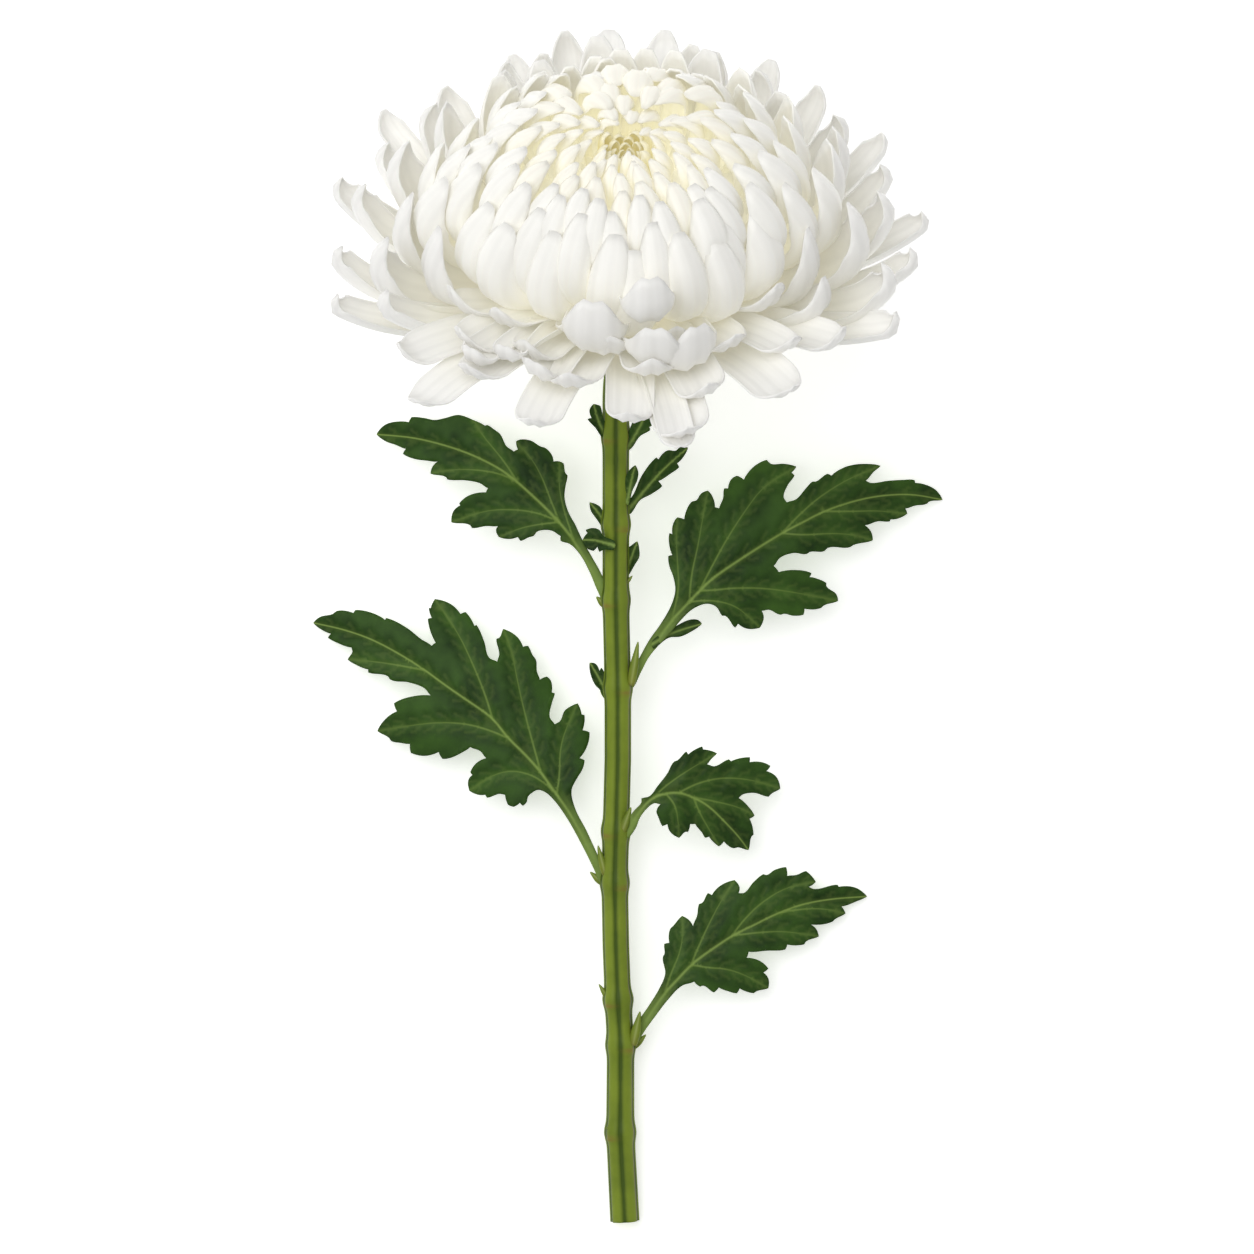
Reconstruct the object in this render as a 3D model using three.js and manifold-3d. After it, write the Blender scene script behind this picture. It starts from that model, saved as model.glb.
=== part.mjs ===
// A disbud chrysanthemum: one large white incurved bloom on a leafy cut stem, lying on its back.
// Millimetres, +Z up from the surface that the flower lies on, +Y from the cut end to the bloom.
import * as THREE from 'three';
import Module from 'manifold-3d';

const wasm = await Module();
wasm.setup();

// Driving dimensions

const GAP = 0.3; // clearance between pieces that touch
const BLADE = 0.9; // thickness of a leaf blade
const SQUARE = 0.25; // leaf outlines are drawn on quarter-millimetre squares
const SHORTEST_EDGE = 0.05; // shorter edges, which a cut leaves behind, are closed up
const WELD = 0.001; // points closer than this are one point

const BLOOM_CENTRE = [-0.6, 99.8, 53.2];
const BLOOM_TILT = 43; // degrees that the bloom's axis lifts from the surface
const TURN = 137.508; // degrees from one floret to the next
const FLORETS = 215;
const HEART_FLORETS = 18; // young florets in the eye of the bloom
const FINE_FROM = 0.95; // florets further out than this share have a rounder trough
const FLORET_WALL = 1.18;
const PRESS_HEIGHT = 6; // florets nearer to the surface than this lie back on it
const BLOOM_SINK = 3.2; // how far the bloom's weight flattens the lowest florets
const OPEN_FROM = 0.7; // at the front, florets further out than this share lie open
const OPEN_TROUGH = 44; // half angle of an open floret's trough
const OPEN_WIDTH = 13.4;
const FRONT_PULL = 9.5; // how far the front of the dome ends short of its sides
const BACK_LIFT = 5; // how much higher the outermost florets at the back stand
const BACK_RISE = 14; // and how many degrees more upright

const STEM_RADIUS = 3.15;
const STEM_RIB = 0.22;
const STEM_RIBS = 5;
const CALYX_BOTTOM = -30; // height of the calyx's underside along the bloom's axis
const CALYX_BRACTS = 6; // in each of its two rows

const FOLD = 0.9; // how far a leaf blade rises beside its midrib
const DROOP = 2.2; // how far its edges hang
const KEEL = 1; // how far midrib and veins stand out under it
const HALF_BLADE = 14; // distance from the midrib where the fold and droop are full

const WHITE = new THREE.Color('#f4f3ee');
const HEART_YELLOW = new THREE.Color('#efe6b4');
const LEAF_GREEN = new THREE.Color('#2f5a26');
const STEM_GREEN = new THREE.Color('#7d9440');
const CALYX_GREEN = new THREE.Color('#5f7f34');

// Small tools for points and solids

const radians = THREE.MathUtils.degToRad;
const lerp = THREE.MathUtils.lerp;
const clamp = THREE.MathUtils.clamp;
const point = (x, y, z) => new THREE.Vector3(x, y, z);

function seeded(seed) {
  let state = seed >>> 0;
  return () => {
    state = (Math.imul(state, 1664525) + 1013904223) >>> 0;
    return state / 4294967296;
  };
}

// A solid from its points and triangles, turned face out if it was wound the other way.
function solid(points, triangles) {
  const build = (list) =>
    new wasm.Manifold(
      new wasm.Mesh({
        numProp: 3,
        vertProperties: new Float32Array(points.flatMap((p) => [p.x, p.y, p.z])),
        triVerts: new Uint32Array(list.flat()),
      }),
    );
  const made = build(triangles);
  return made.volume() > 0 ? made : build(triangles.map(([a, b, c]) => [a, c, b]));
}

// A closed skin over rings of equal count, ending in flat caps or in one tip point.
function loft(rings, tip) {
  const count = rings[0].length;
  const points = rings.flat();
  const triangles = [];
  for (let r = 0; r + 1 < rings.length; r++) {
    for (let i = 0; i < count; i++) {
      const a = r * count + i;
      const b = r * count + ((i + 1) % count);
      triangles.push([a, b, b + count], [a, b + count, a + count]);
    }
  }
  for (let i = 1; i + 1 < count; i++) triangles.push([0, i + 1, i]);
  const last = (rings.length - 1) * count;
  if (tip) {
    points.push(tip);
    for (let i = 0; i < count; i++) triangles.push([last + i, last + ((i + 1) % count), points.length - 1]);
  } else {
    for (let i = 1; i + 1 < count; i++) triangles.push([last, last + i, last + i + 1]);
  }
  return solid(points, triangles);
}

function joinAll(solids) {
  let level = solids;
  while (level.length > 1) {
    const next = [];
    for (let i = 0; i < level.length; i += 2) {
      next.push(i + 1 < level.length ? level[i].add(level[i + 1]) : level[i]);
    }
    level = next;
  }
  return level[0];
}

// The largest body of a solid: scraps that a cut leaves loose are dropped.
function mainBody(shape) {
  const bodies = shape.simplify(SHORTEST_EDGE).decompose();
  return bodies.sort((a, b) => b.volume() - a.volume())[0];
}

const group = new THREE.Group();

// The points and faces of a solid after welding: a fin with no thickness closes flat and is dropped.
function welded(shape) {
  const { vertProperties, triVerts } = shape.getMesh();
  const seen = new Map();
  const positions = [];
  const ids = [];
  for (let i = 0; i < vertProperties.length; i += 3) {
    const rounded = [0, 1, 2].map((axis) => Math.round(vertProperties[i + axis] / WELD) * WELD);
    const key = rounded.map((value) => value.toFixed(3)).join();
    if (!seen.has(key)) {
      seen.set(key, positions.length / 3);
      positions.push(...rounded);
    }
    ids.push(seen.get(key));
  }
  const faces = new Map();
  for (let i = 0; i < triVerts.length; i += 3) {
    const corners = [ids[triVerts[i]], ids[triVerts[i + 1]], ids[triVerts[i + 2]]];
    if (new Set(corners).size < 3) continue;
    const key = [...corners].sort((a, b) => a - b).join();
    if (faces.has(key)) faces.delete(key);
    else faces.set(key, corners);
  }
  return { positions, index: [...faces.values()].flat() };
}

function addPiece(name, shape, color, roughness) {
  const { positions, index } = welded(shape);
  const geometry = new THREE.BufferGeometry();
  geometry.setAttribute('position', new THREE.Float32BufferAttribute(positions, 3));
  geometry.setIndex(index);
  const mesh = new THREE.Mesh(geometry, new THREE.MeshStandardMaterial({ color, roughness, metalness: 0 }));
  mesh.name = name;
  group.add(mesh);
}

// The values for one place in a table whose first column rises, read between its rows.
function readTable(table, at) {
  let i = 0;
  while (i + 2 < table.length && at > table[i + 1][0]) i++;
  const [low, high] = [table[i], table[i + 1]];
  const share = clamp((at - low[0]) / (high[0] - low[0]), 0, 1);
  return low.slice(1).map((value, column) => lerp(value, high[column + 1], share));
}

// The bloom: its own axes, and florets set out on a spiral

const tilt = radians(BLOOM_TILT);
const BLOOM_AXIS = point(0, Math.cos(tilt), Math.sin(tilt));
const BLOOM_FRONT = point(0, -Math.sin(tilt), Math.cos(tilt));
const BLOOM_SIDE = point(1, 0, 0);

// A point of the bloom from its distance from the axis, its height along it and its turn round it.
function bloomPoint(radius, height, turn) {
  return point(...BLOOM_CENTRE)
    .addScaledVector(BLOOM_SIDE, radius * Math.cos(turn))
    .addScaledVector(BLOOM_FRONT, radius * Math.sin(turn))
    .addScaledVector(BLOOM_AXIS, height);
}

// 1 at the front of the bloom, 0 at its sides and back.
const atFront = (turn) => THREE.MathUtils.smoothstep(Math.sin(turn), 0.25, 0.75);

// share from the eye outwards: tip radius, tip height, root radius, root height, root angle,
// tip angle (0 outwards, 90 up, 180 inwards), width, half angle of the trough, length of the upright part
const RAY_TABLE = [
  [0.08, 4.4, 28, 7.5, 10, 88, 158, 3.1, 55, 8],
  [0.2, 11.5, 30.3, 11, 4, 66, 166, 4.7, 57, 15],
  [0.36, 21.5, 31, 14, -6, 44, 160, 6.7, 60, 23],
  [0.52, 33, 28.5, 15, -12, 24, 146, 9, 62, 31],
  [0.66, 45.5, 22.8, 14, -16, 10, 127, 11, 64, 36],
  [0.8, 60, 13, 12, -20, -2, 104, 11.3, 64, 36],
  [0.9, 71, 3, 10, -22, -8, 74, 9.9, 61, 28],
  [1, 78.5, -8, 9, -22, -14, 38, 8.8, 58, 22],
];

// What the draw changes on one floret: turn, reach, width, roll, lean to a side and hook of the tip.
const drawFloret = (random) => ({
  turn: (random() - 0.5) * 5,
  reach: (random() - 0.5) * 4,
  width: 0.9 + random() * 0.22,
  roll: (random() - 0.5) * 24,
  lean: (random() - 0.5) * 4.8,
  hook: 0.18 + random() * 0.26,
});

function rayFloret(index, draw) {
  const share = index / (FLORETS - 1);
  const turn = radians(index * TURN + draw.turn);
  let [tipRadius, tipHeight, rootRadius, rootHeight, rootAngle, tipAngle, width, trough, upright] = readTable(
    RAY_TABLE,
    share,
  );
  let hook = draw.hook;
  const front = atFront(turn);
  const back = Math.max(0, -Math.sin(turn)) * clamp((share - 0.8) / 0.2, 0, 1);
  tipHeight += BACK_LIFT * back;
  tipAngle += BACK_RISE * back;
  if (share < OPEN_FROM) {
    // at the front the dome ends further up
    const pulled = front * clamp((share - 0.36) / 0.34, 0, 1);
    tipRadius -= FRONT_PULL * pulled;
    tipHeight += 4 * pulled;
    rootAngle += 14 * pulled;
    upright -= 4 * pulled;
  } else {
    // and what is further out lies open, longest in the outermost row
    const out = (share - OPEN_FROM) / (1 - OPEN_FROM);
    tipRadius = lerp(tipRadius, 49 + 26 * out, front);
    tipHeight = lerp(tipHeight, 1 - 14 * out, front);
    tipAngle = lerp(tipAngle, 14 - 46 * out, front);
    rootAngle = lerp(rootAngle, 26 - 14 * out, front);
    upright = lerp(upright, 20, front);
    trough = lerp(trough, OPEN_TROUGH, front);
    width = lerp(width, OPEN_WIDTH, front);
    hook += 0.3 * front;
  }
  hook += 0.2 * (1 - front) * (1 - back) * clamp((share - 0.8) / 0.1, 0, 1);
  const away = radians(tipAngle - 90);
  tipRadius += draw.reach * Math.cos(away) * 0.6;
  tipHeight += draw.reach * 0.6;
  return {
    turn, tipRadius, tipHeight, rootRadius, rootHeight, rootAngle, tipAngle, width, trough, upright, hook, draw, share,
  };
}

function heartFloret(index, draw) {
  const share = (index + 0.4) / HEART_FLORETS;
  const radius = 7 * Math.sqrt(share);
  return {
    turn: radians(index * TURN + draw.turn),
    tipRadius: radius * 0.7,
    tipHeight: 24.5 + 3 * share + draw.reach * 0.2,
    rootRadius: radius,
    rootHeight: 15,
    rootAngle: 90,
    tipAngle: 100 + 22 * share,
    width: (1.9 + 1.3 * share) * draw.width,
    trough: 80,
    upright: 4,
    hook: draw.hook,
    draw,
    share,
  };
}

// The blade of a floret as rings of its trough-shaped section, from where it shows to its tip.
function floretSolid(floret, start, steps, fine, grow = 0) {
  const { turn, draw } = floret;
  const root = [floret.rootRadius, floret.rootHeight];
  const tip = [floret.tipRadius, floret.tipHeight];
  const reach = Math.hypot(tip[0] - root[0], tip[1] - root[1]);
  const [rise, fall] = [radians(floret.rootAngle), radians(floret.tipAngle)];
  const pull = [root[0] + 0.45 * reach * Math.cos(rise), root[1] + 0.45 * reach * Math.sin(rise)];
  const push = [tip[0] - floret.upright * Math.cos(fall), tip[1] - floret.upright * Math.sin(fall)];
  const curve = new THREE.CubicBezierCurve(
    new THREE.Vector2(...root),
    new THREE.Vector2(...pull),
    new THREE.Vector2(...push),
    new THREE.Vector2(...tip),
  );
  const side = bloomPoint(0, 0, 0).sub(bloomPoint(1, 0, turn + Math.PI / 2)).negate();
  const width = floret.width * draw.width;
  const wall = Math.min(FLORET_WALL, width * 0.4);
  const trough = radians(floret.trough);
  const radius = width / 2 / Math.sin(Math.min(trough, Math.PI / 2));
  const roundFrom = 1 - (0.62 * width) / reach;
  const hookFrom = 1 - (1.05 * width) / reach;
  const angles = fine ? [-1, -0.5, 0, 0.5, 1] : [-1, 0, 1];

  function section(s, share) {
    const at = curve.getPoint(s);
    const along = curve.getTangent(s);
    const hook = floret.hook * width * clamp((s - hookFrom) / (1 - hookFrom), 0, 1) ** 2;
    const outward = [along.y, -along.x];
    const centre = bloomPoint(at.x - outward[0] * hook, at.y - outward[1] * hook, turn);
    centre.addScaledVector(side, draw.lean * s * s);
    const out = bloomPoint(outward[0], outward[1], turn).sub(point(...BLOOM_CENTRE));
    const roll = radians(draw.roll) * s;
    const across = side.clone().multiplyScalar(Math.cos(roll)).addScaledVector(out, Math.sin(roll));
    const up = out.clone().multiplyScalar(Math.cos(roll)).addScaledVector(side, -Math.sin(roll));
    const ring = angles.map((part) =>
      centre
        .clone()
        .addScaledVector(across, (radius * share + 1.5 * grow) * Math.sin(part * trough))
        .addScaledVector(up, radius * share * (Math.cos(part * trough) - 1) + grow * (1 - 2 * Math.abs(part))),
    );
    ring.push(centre.clone().addScaledVector(up, -grow - wall * Math.max(share, 0.6)));
    // near the surface it bends to lie back on it
    const lowest = Math.min(...ring.map((p) => p.z));
    const below = 1 - lowest / PRESS_HEIGHT;
    if (below > 0) {
      const pressed = PRESS_HEIGHT * Math.exp(-below) - BLOOM_SINK * Math.min(below, 1);
      ring.forEach((p) => p.setZ(p.z + pressed - lowest));
    }
    return ring;
  }

  const widthAt = (s) => {
    const swell = lerp(0.5, 1, THREE.MathUtils.smoothstep(s, 0, 0.6));
    const end = clamp((s - roundFrom) / (1 - roundFrom), 0, 1);
    return swell * Math.sqrt(Math.max(1 - end ** 2.2, 0));
  };
  const stops = [];
  for (let i = 0; i < steps; i++) stops.push(lerp(start, roundFrom, i / (steps - 1)));
  stops.push(lerp(roundFrom, 1, 0.66));
  const rings = stops.map((s) => section(s, widthAt(s)));
  const tipMiddle = (angles.length - 1) / 2;
  const end = section(1, 0.02)[tipMiddle];
  end.add(end.clone().sub(rings[rings.length - 1][tipMiddle]).setLength(1.5 * grow));
  return loft(rings, end);
}

// A solid turned about the bloom's axis: rings of radius, height and, where it differs, radius at the front.
function bloomTurned(profile, sides) {
  const rings = profile.map(([radius, height, frontRadius = radius]) =>
    Array.from({ length: sides }, (_, i) => {
      const turn = (i / sides) * 2 * Math.PI;
      return bloomPoint(lerp(radius, frontRadius, atFront(turn)), height, turn);
    }),
  );
  return loft(rings);
}

const random = seeded(20907);
const draws = Array.from({ length: FLORETS }, () => drawFloret(random));

function raySolids(from, to, grow) {
  const made = [];
  for (let i = from; i < to; i++) {
    const floret = rayFloret(i, draws[i]);
    const start = lerp(0.5, 0.02, clamp((floret.share - 0.6) / 0.25, 0, 1));
    const fine = floret.share > FINE_FROM;
    made.push(floretSolid(floret, start, fine ? 3 : 2, fine, grow));
  }
  return made;
}

const core = bloomTurned(
  [
    [6, -22, 4], [26, -20, 17.5], [44, -15, 29.5], [53, -6, 35.5], [52, 4, 41.5], [44, 12, 39.5], [33, 19, 32.5],
    [20, 22.5], [12, 22], [8.8, 18], [8.8, 13.6],
  ],
  20,
);
const rays = mainBody(
  joinAll([core, ...raySolids(HEART_FLORETS, FLORETS, 0)]).trimByPlane([0, 0, 1], 0),
);
addPiece('ray_florets', rays, WHITE, 0.6);

const heartButton = bloomTurned(
  [
    [8.2, 14], [8.2, 18], [6, 20.5], [1, 21],
  ],
  14,
);
const heartParts = draws
  .slice(0, HEART_FLORETS)
  .map((draw, i) => floretSolid(heartFloret(i, draw), 0.1, 2, false));
const nearRays = joinAll(raySolids(HEART_FLORETS, HEART_FLORETS + 60, GAP));
const heart = mainBody(joinAll([heartButton, ...heartParts]).subtract(nearRays));
addPiece('heart_florets', heart, HEART_YELLOW, 0.6);

// The stem: a ribbed stalk that bends from the bloom's axis down to the surface

const CALYX_FOOT = bloomPoint(0, CALYX_BOTTOM, 0);
const STEM_SLOPE = 0.0852; // rise of the stem's middle for each millimetre along it
const CUT_Y = -149.5;

// middle of the stem seen from above: how far up the flower, how far to the side
const STEM_SWAY = [
  [-150, -0.6], [-127, -1.8], [-105, -1.7], [-93, -2.4], [-80, -2.9], [-63, -3.2], [-33, -2.4], [-15, -2.4],
  [7, -2.9], [57, -2.9], [62, -2.7],
];
const stemHeight = (y) => STEM_RADIUS + 0.1 + (y - CUT_Y) * STEM_SLOPE;
const stemMiddle = (y) => point(readTable(STEM_SWAY, y)[0], y, stemHeight(y));

// joints of the stem, where leaves leave it: place along it and swelling
const NODES = [[-127, 0.55], [-105, 0.5], [-93.5, 0.6], [-64, 0.5], [-51, 0.5], [-15, 0.5], [7, 0.45], [26, 0.5], [48, 0.45]];

function stemRadiusAt(y) {
  const foot = 0.35 * clamp((-90 - y) / 60, 0, 1);
  const swell = NODES.map(([at, size]) => size * Math.exp(-(((y - at) / 2.2) ** 2)));
  return STEM_RADIUS + foot + Math.max(...swell);
}

function stemSolid(grow) {
  const sides = STEM_RIBS * 2;
  const stops = [CUT_Y, ...NODES.flatMap(([at]) => [at - 3, at, at + 2.4]), -116, -78, -33, 57];
  stops.sort((a, b) => a - b);
  const path = stops.map((y) => ({ at: stemMiddle(y), radius: stemRadiusAt(y) }));
  // the neck bends up into the bloom's axis
  const top = CALYX_FOOT.clone().addScaledVector(BLOOM_AXIS, -GAP);
  const neck = new THREE.CubicBezierCurve3(
    stemMiddle(57),
    stemMiddle(65),
    top.clone().addScaledVector(BLOOM_AXIS, -11),
    top,
  );
  for (const share of [0.25, 0.5, 0.75, 1]) path.push({ at: neck.getPoint(share), radius: STEM_RADIUS + 0.5 * share });
  const rings = path.map(({ at, radius }, i) => {
    const before = path[Math.max(i - 1, 0)].at;
    const after = path[Math.min(i + 1, path.length - 1)].at;
    const along = i === path.length - 1 ? BLOOM_AXIS.clone() : after.clone().sub(before).normalize();
    const across = point(1, 0, 0).addScaledVector(along, -along.x).normalize();
    const up = across.clone().cross(along).normalize();
    return Array.from({ length: sides }, (_, k) => {
      const turn = ((k + 0.5) / sides) * 2 * Math.PI;
      const rib = k % 2 ? STEM_RIB : -STEM_RIB;
      return at
        .clone()
        .addScaledVector(across, (radius + rib + grow) * Math.cos(turn))
        .addScaledVector(up, (radius + rib + grow) * Math.sin(turn));
    });
  });
  return loft(rings);
}

// A bud or scale on the stem: a pointed drop from its foot to its tip.
function budSolid([foot, tip, width], grow) {
  const from = point(...foot);
  const to = point(...tip);
  const along = to.clone().sub(from).normalize();
  const across = along.clone().cross(point(0, 0, 1)).normalize();
  const up = across.clone().cross(along).normalize();
  const ring = (share, size) =>
    Array.from({ length: 5 }, (_, k) => {
      const turn = ((k + 0.25) / 5) * 2 * Math.PI;
      return from
        .clone()
        .lerp(to, share)
        .addScaledVector(across, (size * width * 0.5 + grow) * Math.cos(turn))
        .addScaledVector(up, (size * width * 0.36 + grow) * Math.sin(turn));
    });
  return loft([ring(0, 0.8), ring(0.5, 1)], to.clone().addScaledVector(along, grow));
}

// foot, tip and width of each bud, in millimetres
const BUDS = [
  [[0.9, -125.6, 6.6], [-4.9, -126, 7.6], 3.4],
  [[-3, -126.6, 6.4], [-5.4, -125.8, 7.6], 2],
  [[-4.6, -93.6, 8.2], [-7.2, -89.6, 8.8], 1.6],
  [[1.4, -105, 9.2], [3.2, -96.4, 10.4], 2.6],
  [[1.6, -105.6, 6.4], [4.7, -102.4, 6.2], 1.8],
  [[-0.9, -65.5, 10.6], [0.1, -60.2, 10.8], 1.1],
  [[-5.6, -62, 12.4], [-7.4, -54.6, 13], 2],
  [[-6, -64.4, 9.4], [-9.4, -61.4, 9], 2],
  [[-1.4, -51.4, 14.2], [0.9, -45, 15.6], 2.4],
  [[-5, -17.6, 12.6], [-6.8, -15.8, 12.4], 1.4],
  [[-0.5, 11, 17.4], [1.3, 13.1, 17.6], 1.1],
  [[-5.2, 5.4, 16.2], [-7.8, 7.8, 16], 2.2],
  [[0.9, -14.4, 17], [2.7, -3.4, 18.4], 2.4],
];

const stemWithBuds = (grow) => joinAll([stemSolid(grow), ...BUDS.map((bud) => budSolid(bud, grow))]);
const stem = mainBody(stemWithBuds(0).trimByPlane([0, 0, 1], 0));
const stemRoom = stemWithBuds(GAP);
addPiece('stem', stem, STEM_GREEN, 0.55);

// The calyx: a green cup under the bloom with two rows of small overlapping bracts

function bractSolid(turn, foot, middle, tip, width) {
  const ring = ([radius, height], size) =>
    [-1, 0, 1, 0].map((part, k) =>
      bloomPoint(radius, height + (k === 3 ? -0.9 * size : 0), turn + (part * width * 0.5 * size) / radius),
    );
  return loft([ring(foot, 0.8), ring(middle, 1)], bloomPoint(tip[0], tip[1], turn));
}

const cup = bloomTurned([[3.7, CALYX_BOTTOM], [6, -29.2], [10.5, -26.6], [12.5, -22], [4, -22]], 16);
const bracts = [];
for (let row = 0; row < 2; row++) {
  for (let i = 0; i < CALYX_BRACTS; i++) {
    const turn = ((i + row / 2) / CALYX_BRACTS) * 2 * Math.PI;
    const out = 3 * row;
    const heights = [-29.4 + row, -28 + row, -25.2 - row * 0.6];
    bracts.push(bractSolid(turn, [5.2 + out, heights[0]], [9.5 + out, heights[1]], [15 + out, heights[2]], 6.4));
  }
}
// the lowest florets spread over the calyx inside this bowl
const underFlorets = bloomTurned([[0.5, -22.9], [10, -22.9], [15, -23.7], [20, -24.7], [30, -27], [30, -10], [0.5, -10]], 16);
const calyx = mainBody(joinAll([cup, ...bracts]).subtract(underFlorets));
addPiece('calyx', calyx, CALYX_GREEN, 0.6);

// The leaves: flat outlines cut between their veins, then arched and thickened

const onSheet = ([x, y]) => new THREE.Vector2(x * SQUARE, y * SQUARE);

// How far along a path the nearest spot to a point is, from 0 to 1, and how far away it lies.
function nearestOn(path, spot) {
  let total = 0;
  let best = { distance: Infinity, along: 0 };
  for (let i = 0; i + 1 < path.length; i++) {
    const step = path[i + 1].clone().sub(path[i]);
    const share = clamp(spot.clone().sub(path[i]).dot(step) / step.lengthSq(), 0, 1);
    const distance = path[i].clone().addScaledVector(step, share).distanceTo(spot);
    if (distance < best.distance) best = { distance, along: total + share * step.length() };
    total += step.length();
  }
  return { distance: best.distance, share: best.along / total };
}

const nearestIndex = (points, spot) =>
  points.reduce((best, p, i) => (p.distanceTo(spot) < points[best].distanceTo(spot) ? i : best), 0);

// A leaf blade and its stalk from its midrib, both edges, side veins and heights along the midrib.
function leafSolid(leaf) {
  const { midrib, lower, upper, lowerVeins = [], upperVeins = [], heights } = leaf;
  const { fold = FOLD, droop = DROOP, keel = KEEL } = leaf;
  const rib = midrib.map(onSheet);
  const flat = [];
  const indexOf = (spot) => {
    const found = flat.findIndex((p) => p.distanceTo(spot) < 0.01);
    return found >= 0 ? found : flat.push(spot) - 1;
  };
  const triangles = [];
  const isVein = new Set(rib.map(indexOf));

  function fill(loop) {
    const ring = loop.map(indexOf);
    const corners = ring.map((i) => flat[i]);
    for (const [a, b, c] of THREE.ShapeUtils.triangulateShape(corners, [])) {
      const [p, q, r] = [corners[a], corners[b], corners[c]];
      const area = (q.x - p.x) * (r.y - p.y) - (r.x - p.x) * (q.y - p.y);
      triangles.push(area > 0 ? [ring[a], ring[b], ring[c]] : [ring[a], ring[c], ring[b]]);
    }
  }

  for (const [edgeList, veinLists] of [[lower, lowerVeins], [upper, upperVeins]]) {
    const edge = [...edgeList.map(onSheet), rib[rib.length - 1]];
    const veins = veinLists.map((list) => {
      const path = list.map(onSheet);
      const from = nearestIndex(rib, path[0]);
      const to = nearestIndex(edge, path[path.length - 1]);
      return { from, to, inner: path.slice(1, -1) };
    });
    veins.push({ from: rib.length - 1, to: edge.length - 1, inner: [] });
    let last = { from: 0, to: 0, inner: [] };
    for (const vein of veins) {
      vein.inner.forEach((p) => isVein.add(indexOf(p)));
      const loop = [
        ...rib.slice(last.from, vein.from + 1),
        ...vein.inner,
        ...edge.slice(last.to, vein.to + 1).reverse(),
        ...[...last.inner].reverse(),
      ];
      fill(loop.filter((p, i) => i === 0 || p.distanceTo(loop[i - 1]) > 0.01));
      last = vein;
    }
  }

  const edgeOf = new Map();
  for (const [a, b, c] of triangles) {
    for (const [from, to] of [[a, b], [b, c], [c, a]]) {
      if (!edgeOf.delete(`${to} ${from}`)) edgeOf.set(`${from} ${to}`, [from, to]);
    }
  }
  const count = flat.length;
  const top = [];
  const under = [];
  flat.forEach((spot, i) => {
    const { distance, share } = nearestOn(rib, spot);
    const spread = clamp(distance / HALF_BLADE, 0, 1.6);
    const z = readTable(heights, share)[0] + fold * Math.sqrt(spread) - droop * spread ** 2;
    const ribDepth = isVein.has(i) ? keel * lerp(1.3, 0.15, share) * Math.exp(-distance / 2) : 0;
    top.push(point(spot.x, spot.y, z));
    under.push(point(spot.x, spot.y, z - BLADE - ribDepth));
  });
  const skin = triangles.flatMap(([a, b, c]) => [[a, b, c], [a + count, c + count, b + count]]);
  for (const [from, to] of edgeOf.values()) {
    skin.push([from, from + count, to + count], [from, to + count, to]);
  }
  return solid([...top, ...under], skin);
}

// Outlines in quarter-millimetre squares from the flower's middle, each edge from the stalk to the tip.
// A vein runs from the midrib to the tip of its lobe.

const UPPER_LEFT = {
  midrib: [
    [-20, 26], [-28, 40], [-38, 62], [-53, 86], [-68, 106], [-88, 126], [-110, 146], [-128, 160], [-158, 175],
    [-188, 185], [-218, 192], [-253, 195],
  ],
  lower: [
    [-22, 22], [-30, 37], [-38, 56], [-48, 74], [-58, 84], [-67, 87], [-67, 92], [-75, 97], [-84, 98], [-91, 96],
    [-94, 92], [-98, 91], [-107, 87], [-110, 91], [-118, 89], [-129, 91], [-132, 98], [-130, 102], [-142, 102],
    [-156, 100], [-158, 103], [-177, 106], [-175, 117], [-168, 123], [-169, 125], [-159, 133], [-142, 136],
    [-140, 140], [-148, 145], [-163, 148], [-181, 149], [-182, 151], [-198, 155], [-196, 162], [-191, 167],
    [-202, 168], [-215, 170], [-226, 175], [-223, 180], [-233, 184], [-244, 188],
  ],
  upper: [
    [-18, 34], [-26, 54], [-36, 72], [-45, 88], [-52, 103], [-59, 116], [-63, 131], [-62, 142], [-60, 153],
    [-62, 155], [-64, 165], [-68, 167], [-74, 167], [-76, 174], [-83, 181], [-87, 182], [-97, 188], [-108, 189],
    [-112, 187], [-110, 179], [-114, 177], [-121, 182], [-128, 195], [-132, 198], [-141, 204], [-143, 203],
    [-155, 209], [-170, 214], [-183, 211], [-194, 209], [-204, 211], [-217, 212], [-220, 207], [-237, 207],
    [-245, 204],
  ],
  lowerVeins: [
    [[-68, 106], [-88, 104], [-108, 100], [-129, 91]],
    [[-68, 106], [-88, 115], [-113, 119], [-143, 118], [-177, 106]],
    [[-110, 146], [-128, 155], [-153, 159], [-178, 159], [-198, 155]],
  ],
  upperVeins: [
    [[-53, 86], [-64, 118], [-69, 143], [-68, 167]],
    [[-68, 106], [-77, 128], [-85, 150], [-96, 170], [-112, 187]],
    [[-110, 146], [-123, 166], [-136, 182], [-146, 194], [-155, 209]],
  ],
  heights: [[0, 16.6], [0.25, 18.5], [0.6, 15.5], [0.85, 10], [1, 5]],
};

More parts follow.
